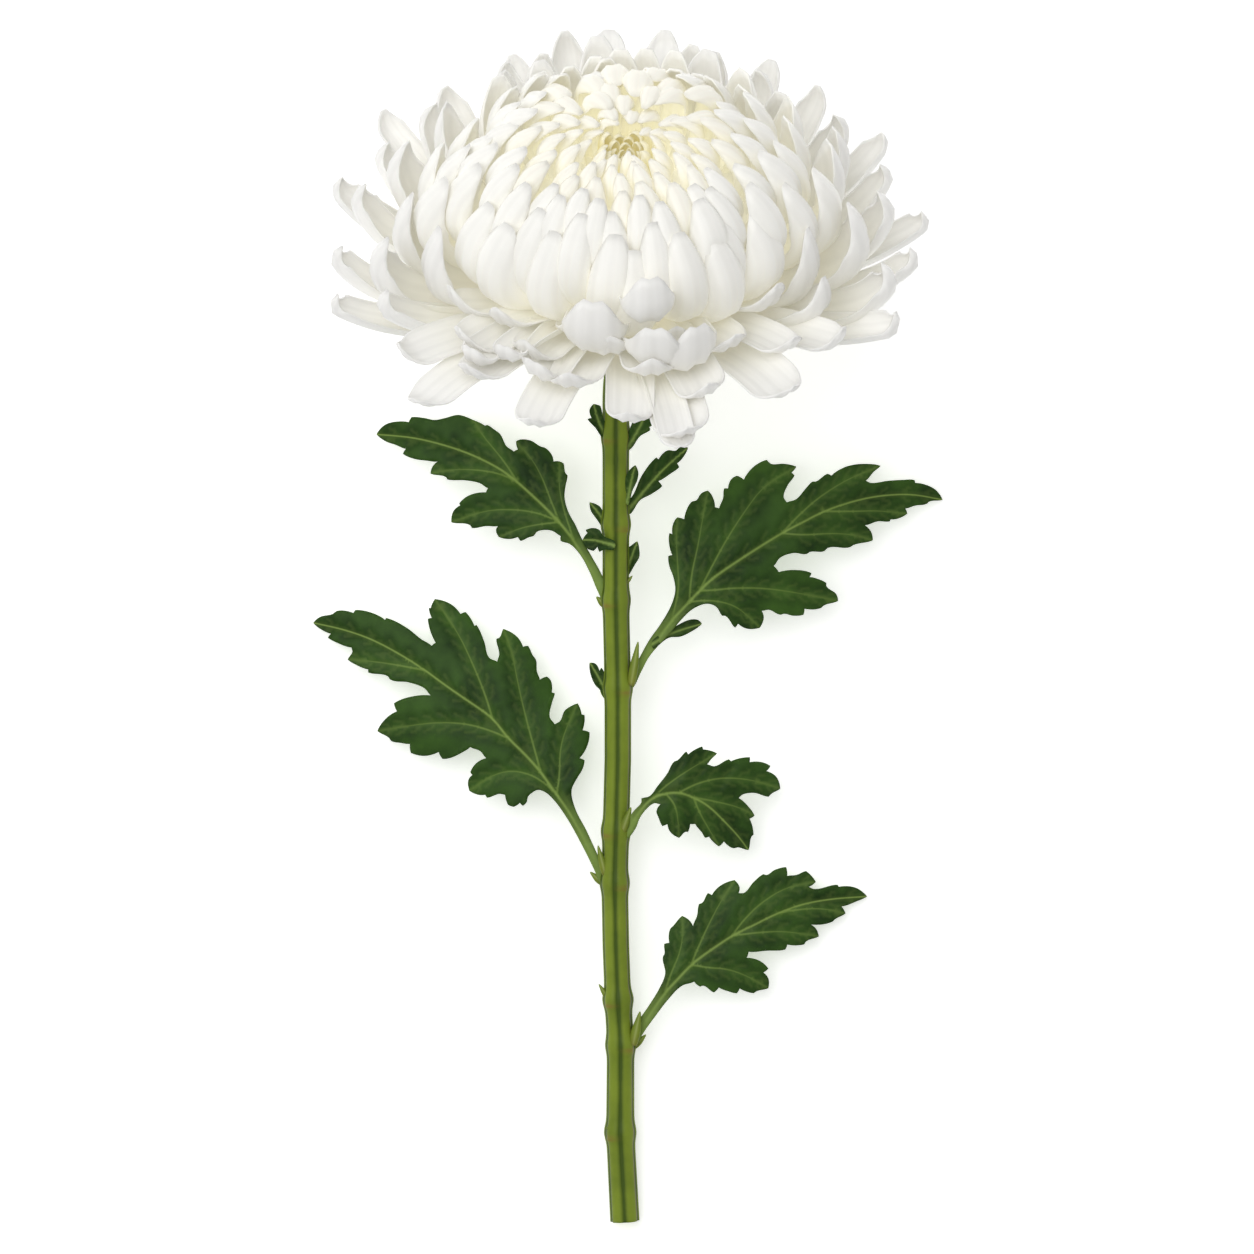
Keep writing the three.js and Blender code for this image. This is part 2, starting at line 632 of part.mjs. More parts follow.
const UPPER_RIGHT = {
  midrib: [
    [3, -58], [12, -40], [27, -17], [44, 7], [62, 26], [72, 37], [87, 51], [112, 68], [137, 84], [155, 95],
    [172, 104], [197, 117], [222, 126], [252, 133], [287, 135], [318, 129],
  ],
  lower: [
    [6, -60], [13, -46], [22, -29], [32, -17], [44, -4], [55, 9], [66, 19], [80, 24], [89, 21], [95, 12], [98, 12],
    [108, 0], [111, 4], [120, -1], [133, 0], [137, 10], [135, 17], [142, 18], [154, 13], [157, 14], [167, 12],
    [177, 13], [178, 19], [195, 20], [197, 22], [212, 27], [210, 34], [200, 42], [200, 45], [192, 49], [183, 51],
    [185, 55], [172, 58], [152, 56], [147, 62], [153, 70], [167, 75], [180, 74], [183, 76], [198, 77], [201, 80],
    [224, 81], [227, 83], [247, 88], [245, 97], [239, 103], [252, 107], [264, 107], [265, 109], [273, 110],
    [282, 115], [280, 120], [290, 123], [302, 125], [304, 127],
  ],
  upper: [
    [2, -48], [12, -30], [22, -12], [34, 5], [44, 23], [48, 38], [46, 51], [42, 62], [41, 72], [45, 73], [42, 83],
    [42, 95], [45, 94], [46, 105], [50, 111], [57, 109], [61, 122], [65, 127], [69, 128], [74, 135], [81, 138],
    [86, 131], [88, 121], [92, 120], [96, 130], [97, 140], [101, 140], [104, 149], [110, 153], [117, 149],
    [122, 157], [128, 163], [140, 169], [144, 165], [157, 165], [170, 162], [165, 156], [168, 153], [161, 143],
    [157, 131], [160, 126], [169, 129], [180, 141], [186, 147], [189, 147], [201, 155], [205, 153], [217, 161],
    [227, 164], [242, 165], [255, 163], [248, 157], [240, 148], [244, 146], [262, 148], [277, 149], [289, 149],
    [290, 146], [304, 143], [312, 138],
  ],
  lowerVeins: [
    [[62, 26], [84, 28], [107, 23], [122, 11], [133, 0]],
    [[72, 37], [89, 38], [107, 40], [137, 40], [172, 35], [212, 27]],
    [[155, 95], [177, 93], [202, 95], [227, 94], [247, 88]],
    [[197, 117], [225, 117], [252, 118], [282, 115]],
  ],
  upperVeins: [
    [[44, 7], [52, 38], [50, 68], [49, 93], [50, 111]],
    [[62, 26], [64, 53], [71, 83], [76, 113], [81, 138]],
    [[72, 37], [84, 60], [99, 88], [117, 116], [137, 143], [170, 162]],
    [[155, 95], [172, 113], [192, 131], [222, 150], [255, 163]],
  ],
  heights: [[0, 14.6], [0.3, 17.5], [0.6, 14.5], [0.85, 8.5], [1, 3]],
};

const MID_LEFT = {
  midrib: [
    [-20, -262], [-31, -238], [-46, -208], [-60, -183], [-71, -168], [-87, -145], [-103, -127], [-120, -111],
    [-136, -90], [-158, -75], [-183, -58], [-203, -43], [-228, -27], [-258, -11], [-288, -1], [-317, 5],
  ],
  lower: [
    [-24, -264], [-34, -242], [-47, -216], [-61, -191], [-74, -173], [-83, -165], [-90, -163], [-96, -166],
    [-100, -170], [-101, -175], [-105, -179], [-108, -176], [-114, -180], [-120, -178], [-123, -168],
    [-128, -167], [-141, -171], [-143, -168], [-150, -168], [-159, -164], [-160, -153], [-156, -148],
    [-158, -145], [-152, -136], [-142, -131], [-148, -124], [-158, -120], [-169, -127], [-178, -131],
    [-186, -132], [-190, -125], [-204, -129], [-218, -126], [-219, -117], [-228, -116], [-238, -114],
    [-240, -111], [-252, -104], [-244, -92], [-232, -84], [-235, -76], [-221, -70], [-198, -68], [-204, -61],
    [-220, -55], [-239, -52], [-241, -49], [-261, -45], [-261, -42], [-272, -38], [-282, -32], [-277, -24],
    [-278, -20], [-293, -15], [-302, -10], [-299, -6], [-310, -1],
  ],
  upper: [
    [-18, -252], [-29, -230], [-41, -204], [-53, -180], [-56, -163], [-51, -152], [-45, -142], [-43, -133],
    [-48, -131], [-40, -118], [-38, -105], [-45, -103], [-43, -88], [-46, -87], [-50, -76], [-59, -80],
    [-63, -83], [-68, -94], [-73, -97], [-78, -90], [-76, -76], [-73, -66], [-76, -65], [-77, -53], [-81, -49],
    [-88, -52], [-91, -44], [-92, -32], [-95, -28], [-100, -18], [-105, -19], [-111, -9], [-125, -1],
    [-129, -10], [-132, -11], [-129, -27], [-131, -34], [-139, -30], [-144, -14], [-152, 3], [-154, 2],
    [-163, 16], [-168, 14], [-178, 24], [-194, 29], [-198, 20], [-200, 20], [-197, 10], [-201, 9], [-193, -15],
    [-197, -18], [-208, -11], [-222, 0], [-243, 10], [-244, 8], [-257, 15], [-274, 18], [-276, 15], [-293, 17],
    [-297, 14], [-310, 11],
  ],
  lowerVeins: [
    [[-71, -168], [-83, -156], [-98, -147], [-118, -143], [-138, -149], [-159, -164]],
    [[-120, -111], [-138, -103], [-163, -96], [-193, -95], [-223, -99], [-252, -104]],
    [[-203, -43], [-223, -39], [-253, -34], [-282, -32]],
  ],
  upperVeins: [
    [[-71, -168], [-68, -147], [-68, -122], [-61, -99], [-50, -76]],
    [[-87, -145], [-94, -120], [-103, -87], [-111, -52], [-116, -24], [-125, -1]],
    [[-136, -90], [-143, -67], [-156, -35], [-171, -4], [-194, 29]],
  ],
  heights: [[0, 10.4], [0.25, 12.5], [0.6, 10.5], [0.85, 6.5], [1, 2.4]],
};

const MID_RIGHT = {
  midrib: [
    [-5, -208], [3, -198], [11, -186], [18, -177], [26, -170], [38, -166], [52, -165], [66, -170], [82, -179],
    [98, -195], [112, -210], [122, -224],
  ],
  lower: [
    [0, -212], [8, -202], [13, -190], [20, -181], [27, -176], [33, -177], [29, -184], [31, -190], [35, -199],
    [40, -197], [43, -205], [52, -211], [58, -205], [61, -205], [63, -197], [68, -197], [75, -206], [78, -211],
    [82, -210], [92, -220], [97, -215], [107, -222], [111, -221],
  ],
  upper: [
    [-8, -204], [-2, -195], [7, -183], [14, -175], [14, -171], [22, -169], [30, -159], [40, -146], [47, -134],
    [50, -133], [59, -124], [61, -127], [75, -119], [76, -122], [90, -126], [84, -132], [80, -137], [87, -139],
    [102, -132], [104, -134], [123, -130], [123, -135], [135, -135], [144, -139], [140, -144], [150, -150],
    [154, -162], [145, -167], [142, -170], [127, -166], [115, -168], [112, -171], [122, -180], [128, -189],
    [123, -192], [127, -208], [125, -210],
  ],
  lowerVeins: [
    [[38, -166], [48, -177], [51, -194], [52, -211]],
    [[66, -170], [73, -187], [83, -204], [92, -220]],
  ],
  upperVeins: [
    [[26, -170], [40, -157], [62, -142], [90, -126]],
    [[52, -165], [72, -155], [97, -150], [127, -153], [154, -162]],
    [[66, -170], [87, -174], [112, -180], [128, -189]],
  ],
  heights: [[0, 13.6], [0.22, 17], [0.45, 17.5], [0.8, 12], [1, 7]],
  droop: 2.6,
};

const LOWER_RIGHT = {
  midrib: [
    [2, -424], [12, -406], [24, -387], [37, -368], [50, -354], [64, -339], [77, -329], [90, -320], [105, -310],
    [127, -299], [152, -287], [177, -278], [207, -273], [242, -271],
  ],
  lower: [
    [6, -426], [16, -408], [28, -391], [41, -374], [55, -360], [67, -356], [73, -361], [76, -360], [87, -367],
    [92, -362], [102, -366], [110, -368], [113, -363], [127, -368], [130, -366], [142, -363], [142, -353],
    [137, -347], [142, -343], [133, -335], [120, -332], [122, -326], [140, -325], [159, -324], [161, -319],
    [178, -319], [180, -316], [193, -311], [190, -303], [185, -299], [207, -296], [209, -294], [220, -288],
    [216, -281], [231, -276],
  ],
  upper: [
    [0, -416], [8, -400], [21, -381], [33, -361], [38, -348], [36, -330], [37, -329], [37, -318], [42, -317],
    [43, -303], [46, -300], [55, -290], [62, -294], [66, -300], [70, -290], [72, -278], [75, -277], [81, -267],
    [85, -269], [93, -260], [108, -254], [113, -261], [112, -267], [117, -267], [127, -256], [137, -248],
    [140, -249], [148, -244], [160, -241], [161, -250], [170, -249], [180, -245], [190, -256], [183, -261],
    [187, -263], [212, -259], [213, -261], [230, -262],
  ],
  lowerVeins: [
    [[64, -339], [82, -342], [100, -343], [120, -350], [142, -363]],
    [[105, -310], [127, -307], [157, -305], [193, -311]],
    [[152, -287], [177, -283], [200, -283], [220, -288]],
  ],
  upperVeins: [
    [[37, -368], [44, -347], [53, -327], [56, -307], [55, -290]],
    [[64, -339], [71, -322], [81, -300], [94, -275], [108, -254]],
    [[105, -310], [117, -294], [134, -277], [160, -261], [190, -256]],
  ],
  heights: [[0, 7.2], [0.25, 10], [0.6, 8.5], [0.85, 5], [1, 2]],
};

// the small leaf that grows from the stalk of the upper right leaf
const STALK_LEAFLET = {
  midrib: [[24, -17], [40, -7], [57, -1], [75, 4]],
  lower: [[26, -21], [42, -10], [53, -9], [64, -4]],
  upper: [[25, -13], [40, -3], [49, 2], [62, 8], [71, 8]],
  heights: [[0, 16.4], [1, 14]],
  fold: 0.3,
  droop: 0,
};

const SMALL_LEAVES = {
  bract_upper_right: {
    midrib: [[-1, 116], [10, 129], [24, 146], [40, 163], [61, 181]],
    lower: [[3, 114], [13, 128], [24, 134], [35, 142], [31, 147], [44, 155], [52, 161], [50, 165], [56, 171]],
    upper: [[-4, 120], [6, 134], [14, 152], [29, 171], [31, 169], [40, 178], [49, 178], [52, 181]],
    heights: [[0, 17.6], [0.5, 18.4], [1, 15]],
  },
  bract_bud_right: {
    midrib: [[-1, 124], [2, 138], [5, 152], [8, 163]],
    lower: [[1, 122], [5, 137], [10, 148], [11, 156]],
    upper: [[-3, 125], [-2, 141], [-2, 150], [2, 158]],
    heights: [[0, 20.8], [1, 22]],
  },
  bract_top_right: {
    midrib: [[-2, 177], [8, 193], [17, 210], [23, 236]],
    lower: [[2, 178], [13, 192], [23, 198], [22, 201], [28, 205], [26, 223]],
    upper: [[-4, 181], [1, 196], [6, 208], [15, 223]],
    heights: [[0, 20.4], [1, 24]],
  },
  bract_top_left: {
    midrib: [[-20, 190], [-28, 203], [-34, 224]],
    lower: [[-24, 190], [-32, 200], [-40, 209], [-36, 210], [-38, 218]],
    upper: [[-17, 194], [-24, 210], [-27, 222]],
    heights: [[0, 20.6], [1, 24]],
  },
  bract_upper_left: {
    midrib: [[-18, 97], [-28, 114], [-38, 126]],
    lower: [[-22, 97], [-31, 109], [-34, 113], [-37, 118]],
    upper: [[-16, 102], [-24, 116], [-28, 122]],
    heights: [[0, 18.2], [1, 18]],
  },
  bract_lobed: {
    midrib: [[-12, 82], [-25, 86], [-34, 88], [-45, 88]],
    lower: [[-14, 78], [-24, 78], [-28, 76], [-30, 81], [-34, 77], [-41, 80]],
    upper: [[-13, 87], [-24, 92], [-28, 98], [-34, 100], [-42, 98], [-40, 95]],
    heights: [[0, 21.8], [1, 21.6]],
    droop: 6,
  },
  bract_right: {
    midrib: [[-4, 50], [3, 68], [10, 87]],
    lower: [[-1, 50], [8, 64], [12, 71], [12, 79]],
    upper: [[-6, 54], [-1, 70], [-1, 79], [3, 82]],
    heights: [[0, 17], [1, 17.6]],
  },
  bract_mid_left: {
    midrib: [[-17, -74], [-27, -53], [-38, -35]],
    lower: [[-21, -75], [-28, -62], [-32, -58], [-36, -50], [-38, -42]],
    upper: [[-16, -68], [-21, -50], [-26, -40], [-28, -43], [-32, -36]],
    heights: [[0, 13.4], [1, 13.4]],
  },
};

const addLeaf = (name, shape) => addPiece(name, mainBody(shape.subtract(stemRoom)), LEAF_GREEN, 0.5);

addLeaf('leaf_upper_left', leafSolid(UPPER_LEFT));
addLeaf('leaf_upper_right', leafSolid(UPPER_RIGHT).add(leafSolid(STALK_LEAFLET)));
addLeaf('leaf_mid_left', leafSolid(MID_LEFT));
addLeaf('leaf_mid_right', leafSolid(MID_RIGHT));
addLeaf('leaf_lower_right', leafSolid(LOWER_RIGHT));
for (const [name, outline] of Object.entries(SMALL_LEAVES)) {
  addLeaf(name, leafSolid({ fold: 0.5, droop: 0.6, keel: 0.5, ...outline }));
}

export default group;
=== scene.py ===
# %% [markdown]
# # A disbud chrysanthemum
#
# One large white bloom on a leafy cut stem. A grower makes such a flower by taking off every side bud, so that the
# plant puts all its strength into one head. The cut flower lies on its back on a pale table, and the camera looks
# straight down on it.
#
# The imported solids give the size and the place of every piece. They are plain, so each one is replaced here by a
# finer piece of the same form: thin florets with grooves, leaves with veins, a ribbed stem.

# %% Load the frame and remember its box
import math

import bmesh
import bpy
import numpy as np
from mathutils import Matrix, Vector
from mathutils.geometry import delaunay_2d_cdt


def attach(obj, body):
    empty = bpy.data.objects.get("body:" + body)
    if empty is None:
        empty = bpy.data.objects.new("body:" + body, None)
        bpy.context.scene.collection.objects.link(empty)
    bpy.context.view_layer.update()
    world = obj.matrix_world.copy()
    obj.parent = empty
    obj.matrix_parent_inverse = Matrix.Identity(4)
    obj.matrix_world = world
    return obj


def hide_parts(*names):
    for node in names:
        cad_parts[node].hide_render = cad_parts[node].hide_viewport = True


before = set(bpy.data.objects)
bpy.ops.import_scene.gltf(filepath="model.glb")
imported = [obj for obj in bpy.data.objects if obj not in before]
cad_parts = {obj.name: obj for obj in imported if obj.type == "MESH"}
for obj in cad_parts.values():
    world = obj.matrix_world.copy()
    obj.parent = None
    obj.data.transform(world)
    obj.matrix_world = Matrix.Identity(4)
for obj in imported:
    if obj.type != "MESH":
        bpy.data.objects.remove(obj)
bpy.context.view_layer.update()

print("nodes:", ", ".join(sorted(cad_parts)))

# %% [markdown]
# ## Camera
#
# The photograph was taken from far away with a long lens, so its lines hardly run together. A long lens here gives
# the same flat view. The camera looks along -Z, which is what a camera does before it is turned at all.

# %% Camera
MM = 0.001
VIEW_WIDTH = 313.5 * MM  # what the photograph's frame takes in, at the height of the leaves
LENS = 300.0
SENSOR = 36.0
LEAF_HEIGHT = 25 * MM

camera_data = bpy.data.cameras.new("camera")
camera_data.lens = LENS
camera_data.sensor_width = SENSOR
camera_data.clip_end = 20
camera = bpy.data.objects.new("camera", camera_data)
camera.location = (-0.1 * MM, 0.2 * MM, LEAF_HEIGHT + VIEW_WIDTH * LENS / SENSOR)
bpy.context.scene.collection.objects.link(camera)
bpy.context.scene.camera = camera
print(f"camera {camera.location.z:.2f} m above the table")

# %% [markdown]
# ## Colours and material nodes
#
# Colours are written as a painter reads them off a chart, in sRGB hex. Blender mixes light in linear values, so one
# function turns them. Another adds a node with its settings and links, and every material below is made with it.

# %% Helpers for materials


def linear(hex_colour):
    """The linear RGBA value of an sRGB hex colour such as #f4f3ee."""
    shares = [int(hex_colour[i : i + 2], 16) / 255 for i in (1, 3, 5)]
    return tuple(s / 12.92 if s <= 0.04045 else ((s + 0.055) / 1.055) ** 2.4 for s in shares) + (1.0,)


def add_node(material, kind, settings=None, **inputs):
    """Adds a node. settings are its properties, inputs its sockets: a value, or an output socket to link.

    A socket is named as in Blender, with _ for each space, or by its number after an i, such as i0.
    """
    tree = material.node_tree
    node = tree.nodes.new(kind)
    for name, value in (settings or {}).items():
        if name == "stops":  # places and colours of a colour ramp
            elements = node.color_ramp.elements
            while len(elements) < len(value):
                elements.new(0.5)
            for element, (position, colour) in zip(elements, value):
                element.position, element.color = position, linear(colour)
        else:
            setattr(node, name, value)
    for name, value in inputs.items():
        by_number = name[0] == "i" and name[1:].isdigit()
        socket = node.inputs[int(name[1:]) if by_number else name.replace("_", " ")]
        if isinstance(value, bpy.types.NodeSocket):
            tree.links.new(value, socket)
        else:
            socket.default_value = value
    return node


def new_material(name):
    """An empty node material with its output."""
    material = bpy.data.materials.new(name)
    material.use_nodes = True
    material.node_tree.nodes.clear()
    return material


# %% [markdown]
# ## Petal skin
#
# A white floret has no white paint in it. Its cells are clear, and air between them scatters the light, as in snow.
# Light also passes through the thin blade and fills the depths of the bloom. To trace every such path would take
# hours, so the shader scatters a little light under the surface and adds a weak glow, strongest at the root, where
# most of the light comes from other petals. Clear veins run along the grooves of the blade and look faintly darker,
# and that darkening is also painted shade of the grooves. The florets get creamier towards the eye, because young
# tissue is still faintly yellow, so there are four skins from one recipe.

# %% Material: petal skin
MULTIPLIED = {"data_type": "RGBA", "blend_type": "MULTIPLY"}
BODY_PLACES = (0.1, 0.55, 0.82)  # where along the floret each body colour is met, from 0 at the root to 1 at the tip
GLOW_PLACES = (0.0, 0.6, 0.9)
GLOW_STRENGTH = 1.12
BLOTCHES = 180.0  # to the metre, so each is some 5 mm wide
# the darker lines lie in the grooves, so besides the veins they are painted shade of the grooves
VEIN_AND_GROOVE_SHADE_TURNS = 13.0  # the wave's angle from the middle of the blade to its edge: two veins to either side of one
RIDGE_TURNS = 34.0


def petal_skin(name, body, through):
    """Waxy white petal tissue, from the root to the tip: its own colours, and the light that comes through."""
    material = new_material(name)
    along = add_node(material, "ShaderNodeAttribute", {"attribute_name": "along"}).outputs["Fac"]
    across = add_node(material, "ShaderNodeAttribute", {"attribute_name": "across"}).outputs["Fac"]
    place = add_node(material, "ShaderNodeTexCoord").outputs["Object"]
    stops = list(zip(BODY_PLACES, body))
    colour = add_node(material, "ShaderNodeValToRGB", {"stops": stops}, Fac=along).outputs["Color"]
    blotch = add_node(material, "ShaderNodeTexNoise", Vector=place, Scale=BLOTCHES, Detail=3.0, Roughness=0.5)
    tint = add_node(material, "ShaderNodeMapRange", Value=blotch.outputs["Fac"],
                    From_Min=0.3, From_Max=0.7, To_Min=0.975, To_Max=1.0)
    shaded = add_node(material, "ShaderNodeMix", MULTIPLIED, i0=1.0, i6=colour, i7=tint.outputs["Result"])
    # clear veins in the grooves let a little light through, so they look faintly darker; that darkening is also
    # painted shade of the grooves
    angle = add_node(material, "ShaderNodeMath", {"operation": "MULTIPLY"}, i0=across, i1=VEIN_AND_GROOVE_SHADE_TURNS)
    wave = add_node(material, "ShaderNodeMath", {"operation": "COSINE"}, i0=angle.outputs[0])
    veins = add_node(material, "ShaderNodeMapRange", Value=wave.outputs[0],
                     From_Min=-0.2, From_Max=1.0, To_Min=1.0, To_Max=0.95)
    shaded = add_node(material, "ShaderNodeMix", MULTIPLIED, i0=1.0, i6=shaded.outputs[2], i7=veins.outputs["Result"])
    # fine ridges along the blade, eleven to its width
    angle = add_node(material, "ShaderNodeMath", {"operation": "MULTIPLY"}, i0=across, i1=RIDGE_TURNS)
    stripes = add_node(material, "ShaderNodeMath", {"operation": "SINE"}, i0=angle.outputs[0])
    bump = add_node(material, "ShaderNodeBump", Strength=0.06, Distance=0.12 * MM, Height=stripes.outputs[0])
    skin = add_node(
        material, "ShaderNodeBsdfPrincipled", Base_Color=shaded.outputs[2], Roughness=0.42, IOR=1.4,
        Subsurface_Weight=0.12, Subsurface_Scale=3 * MM, Normal=bump.outputs["Normal"],
    )
    skin.inputs["Subsurface Radius"].default_value = (1.0, 1.0, 0.95)
    skin.inputs["Specular IOR Level"].default_value = 0.3
    # light that has come through the petals around it
    glow = add_node(material, "ShaderNodeValToRGB", {"stops": list(zip(GLOW_PLACES, through))}, Fac=along)
    material.node_tree.links.new(glow.outputs["Color"], skin.inputs["Emission Color"])
    skin.inputs["Emission Strength"].default_value = GLOW_STRENGTH
    material.cycles.emission_sampling = "NONE"  # so weak a glow needs no light rays of its own
    add_node(material, "ShaderNodeOutputMaterial", Surface=skin.outputs["BSDF"])
    return material


white_petal = petal_skin("white_petal_skin", ["#f5f2ea", "#f5f4ee", "#f6f5f2"], ["#5a584f", "#403f39", "#282825"])
ivory_petal = petal_skin("ivory_petal_skin", ["#faf9f1", "#fbfaf4", "#fdfcf7"], ["#716f64", "#504e46", "#2d2c28"])
pale_petal = petal_skin("pale_petal_skin", ["#faf9f2", "#fbfaf2", "#fcfaf1"], ["#7a7765", "#5d5a4b", "#403d32"])
cream_petal = petal_skin("cream_petal_skin", ["#e3da9c", "#f0e9c2", "#faf6e0"], ["#5f5a3b", "#4e4a36", "#38362a"])
print("petal skins:", white_petal.name, ivory_petal.name, pale_petal.name, cream_petal.name)

# %% [markdown]
# ## The bloom
#
# What looks like one flower is a head of some two hundred small ones, the florets, each with one long petal. They
# grow on a spiral: each stands 137.5 degrees on from the one before, which is why no two hide each other. The
# youngest are in the eye, the oldest are outside. A loop over that spiral places them all, with a seeded draw for
# what makes each one a little different, so the bloom is the same in every run.

# %% The bloom's own axes and the random draw
BLOOM_CENTRE = np.array([-0.6, 99.8, 53.2])
BLOOM_TILT = math.radians(43)  # how far the bloom's axis lifts from the table
TURN = 137.508
FLORETS = 215
HEART_FLORETS = 18  # places of the spiral that the young florets of the eye take up
YOUNG_FLORETS = 34

bloom_axis = np.array([0, math.cos(BLOOM_TILT), math.sin(BLOOM_TILT)])
bloom_front = np.array([0, -math.sin(BLOOM_TILT), math.cos(BLOOM_TILT)])
bloom_side = np.array([1.0, 0.0, 0.0])


def seeded(seed):
    """A stream of numbers from 0 to 1, the same in every run."""
    state = seed
    while True:
        state = (state * 1664525 + 1013904223) % 4294967296
        yield state / 4294967296


def draw_floret(stream):
    """What the draw changes on one floret."""
    values = [next(stream) for _ in range(6)]
    return {
        "turn": (values[0] - 0.5) * 5,
        "reach": (values[1] - 0.5) * 4,
        "width": 0.9 + values[2] * 0.22,
        "roll": (values[3] - 0.5) * 26,
        "lean": (values[4] - 0.5) * 4.5,
        "hook": 0.18 + values[5] * 0.26,
    }


stream = seeded(20907)
draws = [draw_floret(stream) for _ in range(FLORETS + YOUNG_FLORETS)]
print(f"{len(draws)} florets drawn")

# %% [markdown]
# ## One floret
#
# A floret is a long tongue with a trough-shaped section. It leaves the flower's base, swings outwards, rises and
# bends inwards over the heart. Its path is a Bezier curve in the plane through the bloom's axis, and the section is
# swept along it. The last part curls over along an arc: a little on the dome, where the tips look like fingers, and
# much more on the open florets, whose ends turn up like hooks. The rows run to the rounded, slightly notched end
# instead of meeting in one point, so the grooves can run right into the notch. At the front some florets broke out
# of their rows and show the backs of their curled ends. A short table holds those.

# %% Floret shape
# share from the eye outwards: tip radius, tip height, root radius, root height, root angle, tip angle
# (0 outwards, 90 up, 180 inwards), width, half angle of the trough, length of the upright part
RAY_TABLE = np.array([
    [0.08, 4.4, 28.0, 7.5, 10, 88, 158, 3.5, 84, 8],
    [0.2, 11.5, 30.3, 11, 4, 66, 166, 5.2, 88, 15],
    [0.36, 21.5, 31, 14, -6, 44, 160, 7.4, 92, 23],
    [0.52, 33, 28.5, 15, -12, 24, 146, 10.0, 96, 31],
    [0.66, 45.5, 22.8, 14, -16, 10, 127, 12.2, 98, 36],
    [0.8, 60, 13, 12, -20, -2, 104, 12.6, 98, 36],
    [0.9, 71, 3, 10, -22, -8, 74, 11.0, 94, 28],
    [1, 78.5, -8, 9, -22, -14, 38, 9.8, 90, 22],
])
OPEN_FROM = 0.7  # florets further out than this share open flat at the front
RINGS = 20
ACROSS = 15
WALL = 0.7


def rising(value, start, end):
    """0 up to the start, 1 from the end on, and even in between."""
    return min(max((value - start) / (end - start), 0), 1)


def floret_form(index):
    """The numbers that shape one floret of the spiral."""
    draw = draws[index]
    turn = math.radians(index * TURN + draw["turn"])
    share = index / (FLORETS - 1)
    row = [np.interp(share, RAY_TABLE[:, 0], RAY_TABLE[:, k]) for k in range(1, 10)]
    tip_r, tip_h, root_r, root_h, rise, fall, width, trough, push = row
    ahead = math.sin(turn)  # 1 at the front of the bloom, -1 at its back
    front = rising(ahead, 0.25, 0.75)
    front = front * front * (3 - 2 * front)
    back = max(0, -ahead) * rising(share, 0.8, 1)
    tip_h += 5 * back
    fall += 14 * back
    # at the front the dome ends further up, and what is further out than that lies open
    hooded = front * rising(share, 0.36, OPEN_FROM) * (share < OPEN_FROM)
    tip_r -= 9.5 * hooded
    tip_h += 4 * hooded
    rise += 14 * hooded
    push -= 4 * hooded
    if share >= OPEN_FROM:
        out = (share - OPEN_FROM) / (1 - OPEN_FROM)
        tip_r += (53 + 28 * out - tip_r) * front
        tip_h += (1 - 14 * out - tip_h) * front
        fall += (14 - 46 * out - fall) * front
        rise += (26 - 14 * out - rise) * front
        push += (20 - push) * front
        trough += (44 - trough) * front
        width += (13.4 - width) * front
    # behind the eye the florets lie further over it, those further back stand more upright, and at the sides the
    # outermost turn their hollow forwards
    behind = max(0, -ahead) * (1 - rising(share, 0.26, 0.42))
    upright = max(0, -ahead) * rising(share, 0.34, 0.48) * min((1 - share) / 0.3, 1)
    fall += 30 * behind - 32 * upright
    tip_r -= 3.5 * behind * min(share / 0.2, 1)
    width *= 1 + 0.3 * behind
    trough += 8 * behind
    push *= 1 + 0.4 * behind
    side = (1 - front) * (1 - back) * rising(share, 0.74, 0.86)
    curl = 1.2 * draw["hook"] + 1.4 * front * (share >= OPEN_FROM) + 1.35 * side
    pinch = 0.1 + 0.12 * curl + max(0.35 - share, 0) + 0.2 * side
    tip_r += 4.5 * side
    width *= 1 - 0.16 * side
    trough += 6 * side
    away = math.radians(fall - 90)
    tip_r += draw["reach"] * math.cos(away) * 0.6
    tip_h += draw["reach"] * 0.6
    return dict(turn=turn, tip=(tip_r, tip_h), root=(root_r, root_h), rise=rise, fall=fall,
                width=width * draw["width"], trough=trough, push=push, curl=curl, lean=draw["lean"],
                roll=draw["roll"] + 18 * side * math.cos(turn), ridge=0.06, pinch=pinch,
                taper=0.16 * (1 - rising(share, 0.7, 0.8)) + 0.5 * side)


# florets that broke out of their rows at the front: turn (90 at the front), tip radius and height, root angle, tip
# angle, width, half angle of the trough, curl, length of the curled part in widths, roll
STRAYS = [
    (99, (67, 2.5), 28, 0, 16.5, 84, 2.5, 1.44, 4),
    (83, (68, -1), 22, -4, 16.5, 74, 2.3, 1.3, -22),
    (71, (69, -3), 18, -4, 17, 74, 2.4, 1.3, 16),
    (83, (64, 12), 45, 0, 13.5, 88, 2.5, 1.5, 0),
    (112, (67, -5), 18, -6, 14, 70, 2, 1, -16),
    (127, (69, -4), 16, -4, 10.5, 80, 2.1, 1.1, 0),
    (120, (65, -2), 18, -4, 9.5, 80, 2.2, 1.1, 8),
    (80, (79, -10), 10, -26, 9.2, 50, 1.3, 1, 0),
]


def stray_form(index):
    """The numbers that shape one floret that stands out of its row."""
    turn, tip, rise, fall, width, trough, curl, curl_length, roll = STRAYS[index]
    return dict(turn=math.radians(turn), tip=tip, root=(12, -18), rise=rise, fall=fall, width=width, trough=trough,
                push=18, curl=curl, curl_length=curl_length, roll=roll, ridge=0.07, pinch=0.16, taper=0, notch=0.13,
                lean=0)


